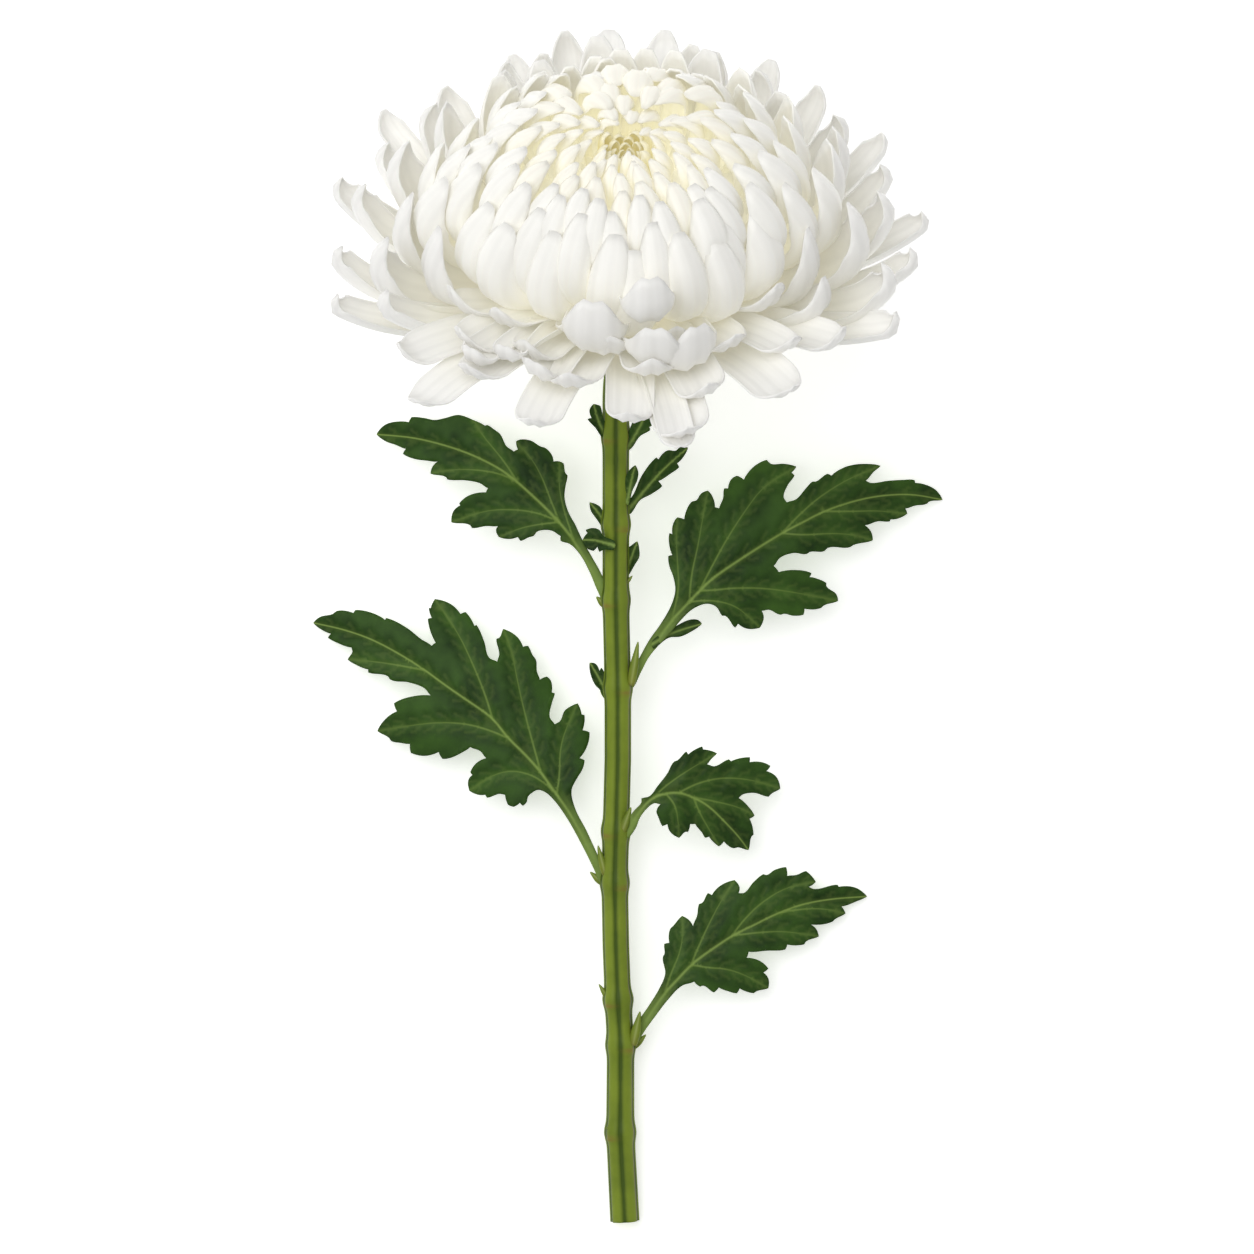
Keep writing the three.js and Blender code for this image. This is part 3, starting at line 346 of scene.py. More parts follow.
def young_form(index):
    """The numbers that shape one young floret of the eye."""
    draw = draws[FLORETS + index]
    share = (index + 0.3) / YOUNG_FLORETS
    radius = 8.2 * math.sqrt(share)
    tip = (radius * 0.62, 22.5 + 4.6 * share + draw["reach"] * 0.2)
    return dict(turn=math.radians(index * TURN + draw["turn"]), tip=tip, root=(radius, 12), rise=92,
                fall=110 + 50 * share, width=(2.3 + 1.2 * share) * draw["width"], trough=112, push=5, ridge=0.03,
                curl=0.6, pinch=0.8, taper=0, roll=draw["roll"], lean=draw["lean"] * 0.3)


def bezier(points, s):
    """Points and directions of a cubic Bezier curve at the places s."""
    p0, p1, p2, p3 = (np.array(p, float) for p in points)
    s = s[..., None]
    at = (1 - s) ** 3 * p0 + 3 * (1 - s) ** 2 * s * p1 + 3 * (1 - s) * s**2 * p2 + s**3 * p3
    along = 3 * (1 - s) ** 2 * (p1 - p0) + 6 * (1 - s) * s * (p2 - p1) + 3 * s**2 * (p3 - p2)
    return at, along / np.linalg.norm(along, axis=-1, keepdims=True)


def floret_points(form):
    """The outer and inner face of one floret, each as RINGS x ACROSS points, with their along and across values."""
    width = form["width"]
    root, tip = np.array(form["root"], float), np.array(form["tip"], float)
    reach = np.hypot(*(tip - root))
    rise, fall = math.radians(form["rise"]), math.radians(form["fall"])
    curve = [
        root,
        root + 0.45 * reach * np.array([math.cos(rise), math.sin(rise)]),
        tip - form["push"] * np.array([math.cos(fall), math.sin(fall)]),
        tip,
    ]
    length = np.sum(np.linalg.norm(np.diff(bezier(curve, np.linspace(0, 1, 12))[0], axis=0), axis=1))
    round_part = min(1.15 * width / length, 0.5)
    hook_part = min(form.get("curl_length", 1.0) * width / length, 0.7)
    angle = np.linspace(-math.pi / 2, math.pi / 2, ACROSS)
    p = np.sin(angle)
    notch = form.get("notch", 0.055) * width / length * np.exp(-((p / 0.18) ** 2))
    end = 1 - round_part * (0.6 * (1 - np.cos(angle)) + 0.4 * np.abs(p) ** 1.6) - notch
    s = np.linspace(0, 1, RINGS)[:, None] ** 0.8 * end[None, :]
    at, along = bezier(curve, s)
    outward = np.stack([along[..., 1], -along[..., 0]], -1)
    lower_half = np.clip(s / 0.5, 0, 1)
    swell = 0.55 + 0.45 * lower_half**2 * (3 - 2 * lower_half)
    e = np.clip((s - (1 - hook_part)) / hook_part, 0, 1)
    # the tip curls over along an arc, as far as the floret's curl says
    curl = form["curl"] * e
    arc = hook_part * length / form["curl"]
    hood, pull = arc * (1 - np.cos(curl)), arc * np.sin(curl) - e * hook_part * length
    pinch = (1 - form["pinch"] * e**2) * (1 - form["taper"] * np.clip((s - 0.5) / 0.5, 0, 1) ** 2)
    trough = math.radians(form["trough"])
    radius = width / 2 / math.sin(min(trough, math.pi / 2))
    bend = p[None, :] * trough
    sideways = radius * swell * pinch * np.sin(bend)
    sink = radius * swell * (np.cos(bend) - 1)
    # a groove down the middle and one to either side, fading towards the root
    fade = np.clip((s - 0.25) / 0.5, 0, 1) * (1 - 0.35 * e)
    grooves = np.exp(-((p / 0.11) ** 2)) + 0.6 * np.exp(-(((np.abs(p) - 0.48) / 0.13) ** 2))
    groove = form["ridge"] * width * fade * grooves
    turn, roll = form["turn"], math.radians(form["roll"]) * s
    radial = bloom_side * math.cos(turn) + bloom_front * math.sin(turn)
    side = -bloom_side * math.sin(turn) + bloom_front * math.cos(turn)
    out = outward[..., :1] * radial + outward[..., 1:] * bloom_axis
    ahead = along[..., :1] * radial + along[..., 1:] * bloom_axis
    centre = BLOOM_CENTRE + at[..., :1] * radial + at[..., 1:] * bloom_axis
    centre = centre - out * hood[..., None] + ahead * pull[..., None] + side * (form["lean"] * s**2)[..., None]
    out = out * np.cos(curl)[..., None] + ahead * np.sin(curl)[..., None]
    cos, sin = np.cos(roll)[..., None], np.sin(roll)[..., None]
    across_way, up = side * cos + out * sin, out * cos - side * sin
    outer = centre + across_way * sideways[..., None] + up * (sink - groove)[..., None]
    normal = across_way * np.sin(bend)[..., None] + up * np.cos(bend)[..., None]
    wall = WALL * min(1, width / 6) * (1 - 0.45 * np.abs(p) ** 4) * (1 - 0.3 * e**3)
    inner = outer - normal * wall[..., None]
    return outer, inner, s, np.broadcast_to(p[None, :], s.shape)


PRESS_HEIGHT = 6.0  # below this height over the table, in mm, florets are pressed by it
CLEAR = 0.03  # nothing comes closer to the table than this


def pressed(points):
    """How far each ring of a floret moves up, or settles, where it lies back on the table."""
    lowest = points[..., 2].min(axis=1)
    below = 1 - lowest / PRESS_HEIGHT
    settled = np.maximum(PRESS_HEIGHT * np.exp(-below) - 3.2 * np.minimum(below, 1), 0.0)
    return (np.where(below > 0, settled, lowest) - lowest)[:, None]


def floret_faces(rings, across):
    """The faces of one floret: outer face, inner face and the rim between them."""
    faces = []
    inner = rings * across
    for r in range(rings - 1):
        for a in range(across - 1):
            i = r * across + a
            faces.append((i, i + 1, i + across + 1, i + across))
            j = inner + i
            faces.append((j, j + across, j + across + 1, j + 1))
    rim = [r * across for r in range(rings)] + [(rings - 1) * across + a for a in range(1, across)]
    rim += [r * across + across - 1 for r in range(rings - 2, -1, -1)] + list(range(across - 2, 0, -1))
    for k, i in enumerate(rim):
        j = rim[(k + 1) % len(rim)]
        faces.append((i, j, inner + j, inner + i))
    return faces


def mesh_piece(name, points, faces, values, material, replaces):
    """A smooth mesh piece in metres that rides on the flower and stands for its CAD nodes."""
    mesh = bpy.data.meshes.new(name)
    mesh.from_pydata([tuple(p) for p in np.asarray(points) * MM], [], faces)
    mesh.polygons.foreach_set("use_smooth", [True] * len(mesh.polygons))
    for key, numbers in values.items():
        attribute = mesh.attributes.new(key, "FLOAT", "POINT")
        attribute.data.foreach_set("value", np.asarray(numbers, np.float32).ravel())
    mesh.update()
    check = bmesh.new()
    check.from_mesh(mesh)
    bmesh.ops.recalc_face_normals(check, faces=check.faces)
    check.to_mesh(mesh)
    check.free()
    piece = bpy.data.objects.new(name, mesh)
    bpy.context.scene.collection.objects.link(piece)
    mesh.materials.append(material)
    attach(piece, "root")
    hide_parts(*replaces)
    triangles = sum(len(f.vertices) - 2 for f in mesh.polygons)
    print(f"{name}: {triangles} triangles")
    return piece


def bloom_point(radius, height, turn):
    """A point of the bloom from its distance from the axis, its height along it and its turn round it."""
    return BLOOM_CENTRE + radius * (bloom_side * math.cos(turn) + bloom_front * math.sin(turn)) + height * bloom_axis


def tube_faces(rings, sides):
    """The faces between rings of equal count, with a fan over the first and the last ring's middle point."""
    faces = []
    for r in range(rings - 1):
        for i in range(sides):
            a, b = r * sides + i, r * sides + (i + 1) % sides
            faces.append((a, b, b + sides, a + sides))
    last = (rings - 1) * sides
    faces += [((i + 1) % sides, i, rings * sides) for i in range(sides)]
    faces += [(last + i, last + (i + 1) % sides, rings * sides + 1) for i in range(sides)]
    return faces


def florets_piece(name, forms, material, replaces):
    """Many florets as one piece."""
    points, faces, along, across = [], [], [], []
    count = 0
    for form in forms:
        outer, inner, s, p = floret_points(form)
        lift = pressed(np.concatenate([outer, inner], axis=1))
        for face in (outer, inner):
            shifted = face.copy()
            shifted[..., 2] = np.maximum(shifted[..., 2] + lift, CLEAR)
            points.append(shifted.reshape(-1, 3))
            along.append(s.ravel())
            across.append(p.ravel())
        faces += [tuple(count + i for i in face) for face in floret_faces(RINGS, ACROSS)]
        count += 2 * RINGS * ACROSS
    values = {"along": np.concatenate(along), "across": np.concatenate(across)}
    return mesh_piece(name, np.concatenate(points), faces, values, material, replaces)


# %% [markdown]
# ## The mound and the tiers of florets
#
# The florets stand on a swollen end of the stem, the receptacle. Between their roots there is nothing to be seen, so a
# smooth mound fills the middle and closes every gap. It is a profile turned about the bloom's axis. The florets are
# joined into a few tiers, each one piece with its own skin, since two hundred separate objects would be slow to load.

# %% Make the mound that the florets stand on
MOUND_SIDES = 72
MOUND_COLOUR_PLACE = 0.3  # it takes the colour that a floret has this far along
MOUND = [  # distance from the bloom's axis and height along it, in mm
    (0.5, 16), (7, 16.5), (13, 19), (20, 19), (27, 14), (31, 7), (31, 0), (27, -8), (18, -16), (8, -20), (0.5, -21),
]


def turned(profile, sides):
    """Points and faces of a solid of revolution about the bloom's axis, closed at both ends."""
    turns = np.linspace(0, 2 * math.pi, sides, endpoint=False)
    points = [bloom_point(radius, height, turn) for radius, height in profile for turn in turns]
    points += [bloom_point(0, profile[0][1], 0), bloom_point(0, profile[-1][1], 0)]
    return np.array(points), tube_faces(len(profile), sides)


mound_points, mound_faces = turned(MOUND, MOUND_SIDES)
named = {"along": np.full(len(mound_points), MOUND_COLOUR_PLACE), "across": np.zeros(len(mound_points))}
mesh_piece("mound", mound_points, mound_faces, named, ivory_petal, ["ray_florets"])

# %% Make the florets, tier by tier
florets_piece("heart", map(young_form, range(YOUNG_FLORETS)), cream_petal, ["heart_florets"])
TIERS = [("inner_florets", HEART_FLORETS, 80, pale_petal), ("middle_florets", 80, 150, ivory_petal),
         ("outer_florets", 150, FLORETS, white_petal)]
for name, low, high, skin in TIERS:
    florets_piece(name, map(floret_form, range(low, high)), skin, ["ray_florets"])
florets_piece("stray_florets", map(stray_form, range(len(STRAYS))), white_petal, ["ray_florets"])

# %% [markdown]
# ## Green skin
#
# A leaf is a thin sheet with a waxy skin over green tissue. Its veins hold no green, so they show as pale lines, and
# they are sunk into the upper side while the tissue between them bulges. The underside is paler and duller. One
# recipe serves leaves, bracts, stem and calyx: a body colour, a vein colour that a value on the mesh brings in, a
# slow mottling, a shade value from the mesh that makes the underside paler and paints shade into the hollows beside
# sunken veins and into the stem's furrows, and a bump as fine as the cells.

# %% Material: green skin
GREEN_VALUES = ("vein", "shade", "brown", "blush")  # what the mesh of every green piece says about its points
MOTTLES = 90.0  # to the metre, so each is some 11 mm wide
SCAR_BROWN, STREAK_BROWN = "#8a6238", "#6d5a3c"


def green_skin(name, body, dark, vein, gloss, cells):
    """Waxy green tissue. The mesh says where its veins, its brown scars and its red-brown streaks are, and how dark
    each point is, with painted shade in hollows and furrows.
    """
    material = new_material(name)
    where = {}
    for key in GREEN_VALUES:
        where[key] = add_node(material, "ShaderNodeAttribute", {"attribute_name": key}).outputs["Fac"]
    place = add_node(material, "ShaderNodeTexCoord").outputs["Object"]
    mottle = add_node(material, "ShaderNodeTexNoise", Vector=place, Scale=MOTTLES, Detail=4.0, Roughness=0.55)
    # the mesh's shade value sets how dark the mottled colour is: a paler underside, and painted shade in the hollows
    # beside sunken veins and in the stem's furrows
    mixed = add_node(material, "ShaderNodeMath", {"operation": "MULTIPLY_ADD"},
                     i0=mottle.outputs["Fac"], i1=0.9, i2=where["shade"])
    stops = [(0.3, dark), (1.0, body)]
    colour = add_node(material, "ShaderNodeValToRGB", {"stops": stops}, Fac=mixed.outputs[0]).outputs["Color"]
    for key, hex_colour in [("vein", vein), ("brown", SCAR_BROWN), ("blush", STREAK_BROWN)]:
        mix = add_node(material, "ShaderNodeMix", {"data_type": "RGBA"},
                       i0=where[key], i6=colour, i7=linear(hex_colour))
        colour = mix.outputs[2]
    grain = add_node(material, "ShaderNodeTexNoise", Vector=place, Scale=cells, Detail=2.0, Roughness=0.6)
    bump = add_node(material, "ShaderNodeBump", Strength=0.25, Distance=0.1 * MM, Height=grain.outputs["Fac"])
    skin = add_node(
        material, "ShaderNodeBsdfPrincipled", Base_Color=colour, Roughness=gloss, IOR=1.42,
        Subsurface_Weight=0.08, Subsurface_Scale=1 * MM, Normal=bump.outputs["Normal"],
    )
    skin.inputs["Subsurface Radius"].default_value = (0.8, 1.0, 0.3)
    skin.inputs["Specular IOR Level"].default_value = 0.18
    add_node(material, "ShaderNodeOutputMaterial", Surface=skin.outputs["BSDF"])
    return material


def green_values(values):
    """The columns of a table of values, by name."""
    return {key: values[:, k] for k, key in enumerate(GREEN_VALUES)}


# the last two numbers are the roughness and how many grains there are to the metre
leaf_skin = green_skin("leaf_skin", "#466a26", "#17300b", "#8ba552", 0.48, 2600.0)
stem_skin = green_skin("stem_skin", "#7d8f2e", "#44581a", "#c6d089", 0.42, 1500.0)
calyx_skin = green_skin("calyx_skin", "#7d9a4e", "#4f6f30", "#cdd6a4", 0.5, 1800.0)
print("green skins:", leaf_skin.name, stem_skin.name, calyx_skin.name)

# %% [markdown]
# ## The stem
#
# The stem of a chrysanthemum is ribbed: strands of stiff tissue stand out along it, with furrows between them that
# are darker with painted shade.
# Where a leaf grew it swells a little, and a brown scar stays. A tube could be made with a bevelled curve, but here
# rings are laid along the path, so that ribs, swellings and scars can be shaped ring by ring. The rings end in a cut
# face, where a thin ring of wood surrounds the pale pith.

# %% The path of the stem
STEM_RADIUS = 3.15
STEM_RIB = 0.22
STEM_RIBS = 5
CALYX_BOTTOM = -30
STEM_SLOPE = 0.0852
CUT_Y = -149.5
STEM_SWAY = np.array([
    [-150, -0.6], [-127, -1.8], [-105, -1.7], [-93, -2.4], [-80, -2.9], [-63, -3.2], [-33, -2.4], [-15, -2.4],
    [7, -2.9], [57, -2.9], [62, -2.7],
])
# joints where a leaf grows or grew: place along the stem, swelling
NODES = [
    (-127, 0.55), (-105, 0.5), (-93.5, 0.6), (-64, 0.5), (-51, 0.5), (-15, 0.5), (7, 0.45), (26, 0.5), (48, 0.45),
]


def stem_middle(y):
    """The middle of the lying part of the stem."""
    return np.array([np.interp(y, STEM_SWAY[:, 0], STEM_SWAY[:, 1]), y, STEM_RADIUS + 0.1 + (y - CUT_Y) * STEM_SLOPE])


def stem_radius(y):
    """Its radius, with the swellings at its joints."""
    foot = 0.35 * rising(-y, 90, 150)  # it thickens towards the cut
    return STEM_RADIUS + foot + max(size * math.exp(-(((y - at) / 2.2) ** 2)) for at, size in NODES)


# %% Make the stem
SIDES = 60
stem_path = [(stem_middle(y), stem_radius(y)) for y in np.arange(CUT_Y, 57.1, 0.75)]
neck_top = bloom_point(0, CALYX_BOTTOM + 1.5, 0)
neck = [stem_middle(57), stem_middle(65), neck_top - 12.5 * bloom_axis, neck_top]
neck_points = bezier(neck, np.linspace(0, 1, 34)[1:])[0]
stem_path += [(p, STEM_RADIUS + 0.5 * (i + 1) / 33) for i, p in enumerate(neck_points)]
turns = np.linspace(0, 2 * math.pi, SIDES, endpoint=False)
furrow = (0.5 - 0.5 * np.cos(STEM_RIBS * turns + 0.5 * math.pi)) ** 4
rings, ring_values = [], []
# the cut face comes first: rings that shrink towards its middle, a little hollow where the pith has dried
face_rings = [  # share of the radius, depth of the hollow in mm, paleness
    (0.05, 0.45, 1.0), (0.35, 0.4, 1.0), (0.7, 0.3, 0.95), (0.82, 0.0, 0.55), (0.93, -0.05, 0.4), (0.985, 0.0, 0.2),
]
for i, (at, radius) in enumerate([stem_path[0]] * len(face_rings) + stem_path):
    step = i - len(face_rings)
    before = stem_path[max(step - 1, 0)][0]
    after = stem_path[min(max(step, 0) + 1, len(stem_path) - 1)][0]
    along = (after - before) / np.linalg.norm(after - before)
    across = np.array([1, 0, 0]) - along * along[0]
    across /= np.linalg.norm(across)
    up = np.cross(across, along)
    share, hollow, pale = face_rings[i] if step < 0 else (1, 0, 0)
    lip = max(math.exp(-(((at[1] - place + 1.6) / 0.45) ** 2)) for place, _ in NODES)
    scar = max(math.exp(-(((at[1] - place + 1.2) / 0.5) ** 2)) for place, _ in NODES)
    nearest = min(range(len(NODES)), key=lambda k: abs(at[1] - NODES[k][0]))
    patch = np.exp(-(((turns - (0.9 if nearest % 2 else 2.3)) / 0.5) ** 2))
    size = (radius + STEM_RIB * (1 - 2 * furrow) + 0.3 * lip * patch) * share
    rings.append(at + hollow * along + np.outer(size * np.cos(turns), across) + np.outer(size * np.sin(turns), up))
    on_side = step >= 0
    # painted shade: the stem's colour is darker in its sunken furrows
    shade = 0.49 - 0.75 * furrow if on_side else np.full(SIDES, 0.5)
    streak = 0.75 * np.exp(-(((turns - 0.5) / 0.13) ** 2)) if on_side else np.zeros(SIDES)
    ring_values.append([np.full(SIDES, pale), shade, 0.6 * scar * on_side * patch, streak])
points = np.concatenate(rings + [rings[0].mean(axis=0)[None], rings[-1].mean(axis=0)[None]])
points[:, 2] = np.maximum(points[:, 2], CLEAR)  # the thick foot presses flat on the table
values = np.concatenate([np.stack(v, axis=1) for v in ring_values] + [np.array([[1, 0.5, 0, 0], [0, 0.5, 0, 0]])])
mesh_piece("stem", points, tube_faces(len(rings), SIDES), green_values(values), stem_skin, ["stem"])

# %% [markdown]
# ## Buds and scales on the stem
#
# The grower rubs out every side shoot, but small buds and scales stay in the angles of the leaves. Each is a pointed
# drop here, folded a little like the young leaf that it is.

# %% Make the buds
# foot, tip and width of each bud
BUDS = [
    [[0.9, -125.6, 6.6], [-4.9, -126, 7.6], 3.4],
    [[-3, -126.6, 6.4], [-5.4, -125.8, 7.6], 2],
    [[-4.6, -93.6, 8.2], [-7.2, -89.6, 8.8], 1.6],
    [[1.4, -105, 9.2], [3.2, -96.4, 10.4], 2.6],
    [[1.6, -105.6, 6.4], [4.7, -102.4, 6.2], 1.8],
    [[-0.9, -65.5, 10.6], [0.1, -60.2, 10.8], 1.1],
    [[-5.6, -62, 12.4], [-7.4, -54.6, 13], 2],
    [[-6, -64.4, 9.4], [-9.4, -61.4, 9], 2],
    [[-1.4, -51.4, 14.2], [0.9, -45, 15.6], 2.4],
    [[-5, -17.6, 12.6], [-6.8, -15.8, 12.4], 1.4],
    [[-0.5, 11, 17.4], [1.3, 13.1, 17.6], 1.1],
    [[-5.2, 5.4, 16.2], [-7.8, 7.8, 16], 2.2],
    [[0.9, -14.4, 17], [2.7, -3.4, 18.4], 2.4],
]
BUD_SIDES, BUD_RINGS = 16, 12
points, faces, values = [], [], []
for foot, tip, width in BUDS:
    foot, tip = np.array(foot, float), np.array(tip, float)
    along = (tip - foot) / np.linalg.norm(tip - foot)
    across = np.cross(along, [0, 0, 1])
    across /= np.linalg.norm(across)
    up = np.cross(across, along)
    turn = np.linspace(0, 2 * math.pi, BUD_SIDES, endpoint=False)
    start = sum(len(p) for p in points)
    bud_rings = []
    for share in np.linspace(0, 0.985, BUD_RINGS):
        size = 0.5 * width * (0.75 + 0.25 * math.sin(math.pi * min(share / 0.8, 1))) * math.sqrt(1 - share**2.2)
        crease = 1 - 0.22 * np.exp(-(((turn - 0.5 * math.pi) / 0.35) ** 2))
        bend = 0.08 * width * math.sin(math.pi * share)
        middle = foot + share * (tip - foot) + bend * up
        sideways = np.outer(size * crease * np.cos(turn), across)
        bud_rings.append(middle + sideways + np.outer(0.72 * size * crease * np.sin(turn), up))
        crest = 0.35 * np.exp(-(((turn - 0.5 * math.pi) / 0.3) ** 2))
        foot_brown = np.full(BUD_SIDES, 0.25 * (1 - share) ** 4)
        values.append(np.stack([crest, np.full(BUD_SIDES, 0.35), foot_brown, 0 * turn], axis=1))
    points.append(np.concatenate(bud_rings + [foot[None], tip[None]]))
    values.append(np.array([[0, 0.3, 0, 0], [0, 0.3, 0.3, 0]]))
    faces += [tuple(start + i for i in face) for face in tube_faces(BUD_RINGS, BUD_SIDES)]
named = green_values(np.concatenate(values))
mesh_piece("stem_buds", np.concatenate(points), faces, named, stem_skin, ["stem"])

# %% [markdown]
# ## The calyx
#
# Under the florets sits a shallow green cup with rows of small overlapping bracts, each with a pale papery edge. From
# above only a little of it shows between the florets, but it belongs to the flower from every other side.

# %% Make the calyx
CALYX_BRACTS = 10  # in each of its rows
CUP_SIDES = 64
CUP = [
    (3.2, -30.2), (4.6, -30), (6.4, -29.2), (8.6, -28), (10.5, -26.6), (11.9, -24.6), (12.5, -22), (8, -21.6),
    (2, -21.4),
]
cup_points, cup_faces = turned(CUP, CUP_SIDES)
named = green_values(np.tile([0.1, 0.3, 0.0, 0.0], (len(cup_points), 1)))
mesh_piece("calyx_cup", cup_points, cup_faces, named, calyx_skin, ["calyx"])

BRACT_STEPS, BRACT_ACROSS = 14, 9
points, faces, values = [], [], []
for row in range(2):
    for i in range(CALYX_BRACTS):
        turn = ((i + row / 2) / CALYX_BRACTS) * 2 * math.pi
        spine = [(5.2 + 3 * row, -29.8 + row), (8.5 + 3 * row, -29.2 + row), (12 + 3 * row, -27.8 + 0.4 * row),
                 (15 + 3 * row, -25.4 - 0.6 * row)]
        at, direction = bezier(spine, np.linspace(0, 1, BRACT_STEPS))
        width = 6 * np.linspace(1, 0, BRACT_STEPS) ** 0.55 * (0.8 + 0.4 * np.linspace(0, 1, BRACT_STEPS))
        start = len(points)
        for face in (0, 1):
            for k in range(BRACT_STEPS):
                for part in np.linspace(-1, 1, BRACT_ACROSS):
                    radius, height = at[k]
                    swing = 0.5 * part * max(width[k], 0.06) / radius
                    thick = 0.0 if face == 0 else 0.55 * (1 - 0.5 * part**4)
                    cup = 0.6 * part**2
                    radius -= direction[k][1] * (thick + cup)
                    height += direction[k][0] * (thick + cup)
                    points.append(bloom_point(radius, height, turn + swing))
                    edge = max(0.0, (abs(part) - 0.7) / 0.3)
                    shade = 0.3 + 0.25 * math.cos(2.5 * part)
                    values.append([0.15 + 0.75 * edge, shade, 0.25 * edge * (k / BRACT_STEPS), 0])
        faces += [tuple(start + j for j in face) for face in floret_faces(BRACT_STEPS, BRACT_ACROSS)]
mesh_piece("calyx_bracts", points, faces, green_values(np.array(values)), calyx_skin, ["calyx"])

# %% [markdown]
# ## The leaves
#
# A chrysanthemum leaf has a stalk, deep rounded lobes and toothed edges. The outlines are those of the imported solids,
# in quarter-millimetre squares. A plane subdivided and cut to such an outline would have ragged edges, so each leaf is
# planned as a map first: points along its edge and veins, then a loose grid between them. A Delaunay triangulation
# joins them into a sheet, the sheet is lifted to its heights, and the veins are pressed into it.

# %% The outlines of the leaves
SQUARE = 0.25

UPPER_LEFT = {
    "midrib": [
        [-20, 26], [-28, 40], [-38, 62], [-53, 86], [-68, 106], [-88, 126], [-110, 146], [-128, 160], [-158, 175],
        [-188, 185], [-218, 192], [-253, 195],
    ],
    "lower": [
        [-22, 22], [-30, 37], [-38, 56], [-48, 74], [-58, 84], [-67, 87], [-67, 92], [-75, 97], [-84, 98], [-91, 96],
        [-94, 92], [-98, 91], [-107, 87], [-110, 91], [-118, 89], [-129, 91], [-132, 98], [-130, 102], [-142, 102],
        [-156, 100], [-158, 103], [-177, 106], [-175, 117], [-168, 123], [-169, 125], [-159, 133], [-142, 136],
        [-140, 140], [-148, 145], [-163, 148], [-181, 149], [-182, 151], [-198, 155], [-196, 162], [-191, 167],
        [-202, 168], [-215, 170], [-226, 175], [-223, 180], [-233, 184], [-244, 188],
    ],
    "upper": [
        [-18, 34], [-26, 54], [-36, 72], [-45, 88], [-52, 103], [-59, 116], [-63, 131], [-62, 142], [-60, 153],
        [-62, 155], [-64, 165], [-68, 167], [-74, 167], [-76, 174], [-83, 181], [-87, 182], [-97, 188], [-108, 189],
        [-112, 187], [-110, 179], [-114, 177], [-121, 182], [-128, 195], [-132, 198], [-141, 204], [-143, 203],
        [-155, 209], [-170, 214], [-183, 211], [-194, 209], [-204, 211], [-217, 212], [-220, 207], [-237, 207],
        [-245, 204],
    ],
    "lower_veins": [
        [[-68, 106], [-88, 104], [-108, 100], [-129, 91]],
        [[-68, 106], [-88, 115], [-113, 119], [-143, 118], [-177, 106]],
        [[-110, 146], [-128, 155], [-153, 159], [-178, 159], [-198, 155]],
    ],
    "upper_veins": [
        [[-53, 86], [-64, 118], [-69, 143], [-68, 167]],
        [[-68, 106], [-77, 128], [-85, 150], [-96, 170], [-112, 187]],
        [[-110, 146], [-123, 166], [-136, 182], [-146, 194], [-155, 209]],
    ],
    "heights": [[0, 16.6], [0.25, 18.5], [0.6, 15.5], [0.85, 10], [1, 5]],
}

UPPER_RIGHT = {
    "midrib": [
        [3, -58], [12, -40], [27, -17], [44, 7], [62, 26], [72, 37], [87, 51], [112, 68], [137, 84], [155, 95],
        [172, 104], [197, 117], [222, 126], [252, 133], [287, 135], [318, 129],
    ],
    "lower": [
        [6, -60], [13, -46], [22, -29], [32, -17], [44, -4], [55, 9], [66, 19], [80, 24], [89, 21], [95, 12], [98, 12],
        [108, 0], [111, 4], [120, -1], [133, 0], [137, 10], [135, 17], [142, 18], [154, 13], [157, 14], [167, 12],
        [177, 13], [178, 19], [195, 20], [197, 22], [212, 27], [210, 34], [200, 42], [200, 45], [192, 49], [183, 51],
        [185, 55], [172, 58], [152, 56], [147, 62], [153, 70], [167, 75], [180, 74], [183, 76], [198, 77], [201, 80],
        [224, 81], [227, 83], [247, 88], [245, 97], [239, 103], [252, 107], [264, 107], [265, 109], [273, 110],
        [282, 115], [280, 120], [290, 123], [302, 125], [304, 127],
    ],
    "upper": [
        [2, -48], [12, -30], [22, -12], [34, 5], [44, 23], [48, 38], [46, 51], [42, 62], [41, 72], [45, 73], [42, 83],
        [42, 95], [45, 94], [46, 105], [50, 111], [57, 109], [61, 122], [65, 127], [69, 128], [74, 135], [81, 138],
        [86, 131], [88, 121], [92, 120], [96, 130], [97, 140], [101, 140], [104, 149], [110, 153], [117, 149],
        [122, 157], [128, 163], [140, 169], [144, 165], [157, 165], [170, 162], [165, 156], [168, 153], [161, 143],
        [157, 131], [160, 126], [169, 129], [180, 141], [186, 147], [189, 147], [201, 155], [205, 153], [217, 161],
        [227, 164], [242, 165], [255, 163], [248, 157], [240, 148], [244, 146], [262, 148], [277, 149], [289, 149],
        [290, 146], [304, 143], [312, 138],
    ],
    "lower_veins": [
        [[62, 26], [84, 28], [107, 23], [122, 11], [133, 0]],
        [[72, 37], [89, 38], [107, 40], [137, 40], [172, 35], [212, 27]],
        [[155, 95], [177, 93], [202, 95], [227, 94], [247, 88]],
        [[197, 117], [225, 117], [252, 118], [282, 115]],
    ],
    "upper_veins": [
        [[44, 7], [52, 38], [50, 68], [49, 93], [50, 111]],
        [[62, 26], [64, 53], [71, 83], [76, 113], [81, 138]],
        [[72, 37], [84, 60], [99, 88], [117, 116], [137, 143], [170, 162]],
        [[155, 95], [172, 113], [192, 131], [222, 150], [255, 163]],
    ],
    "heights": [[0, 14.6], [0.3, 17.5], [0.6, 14.5], [0.85, 8.5], [1, 3]],
}

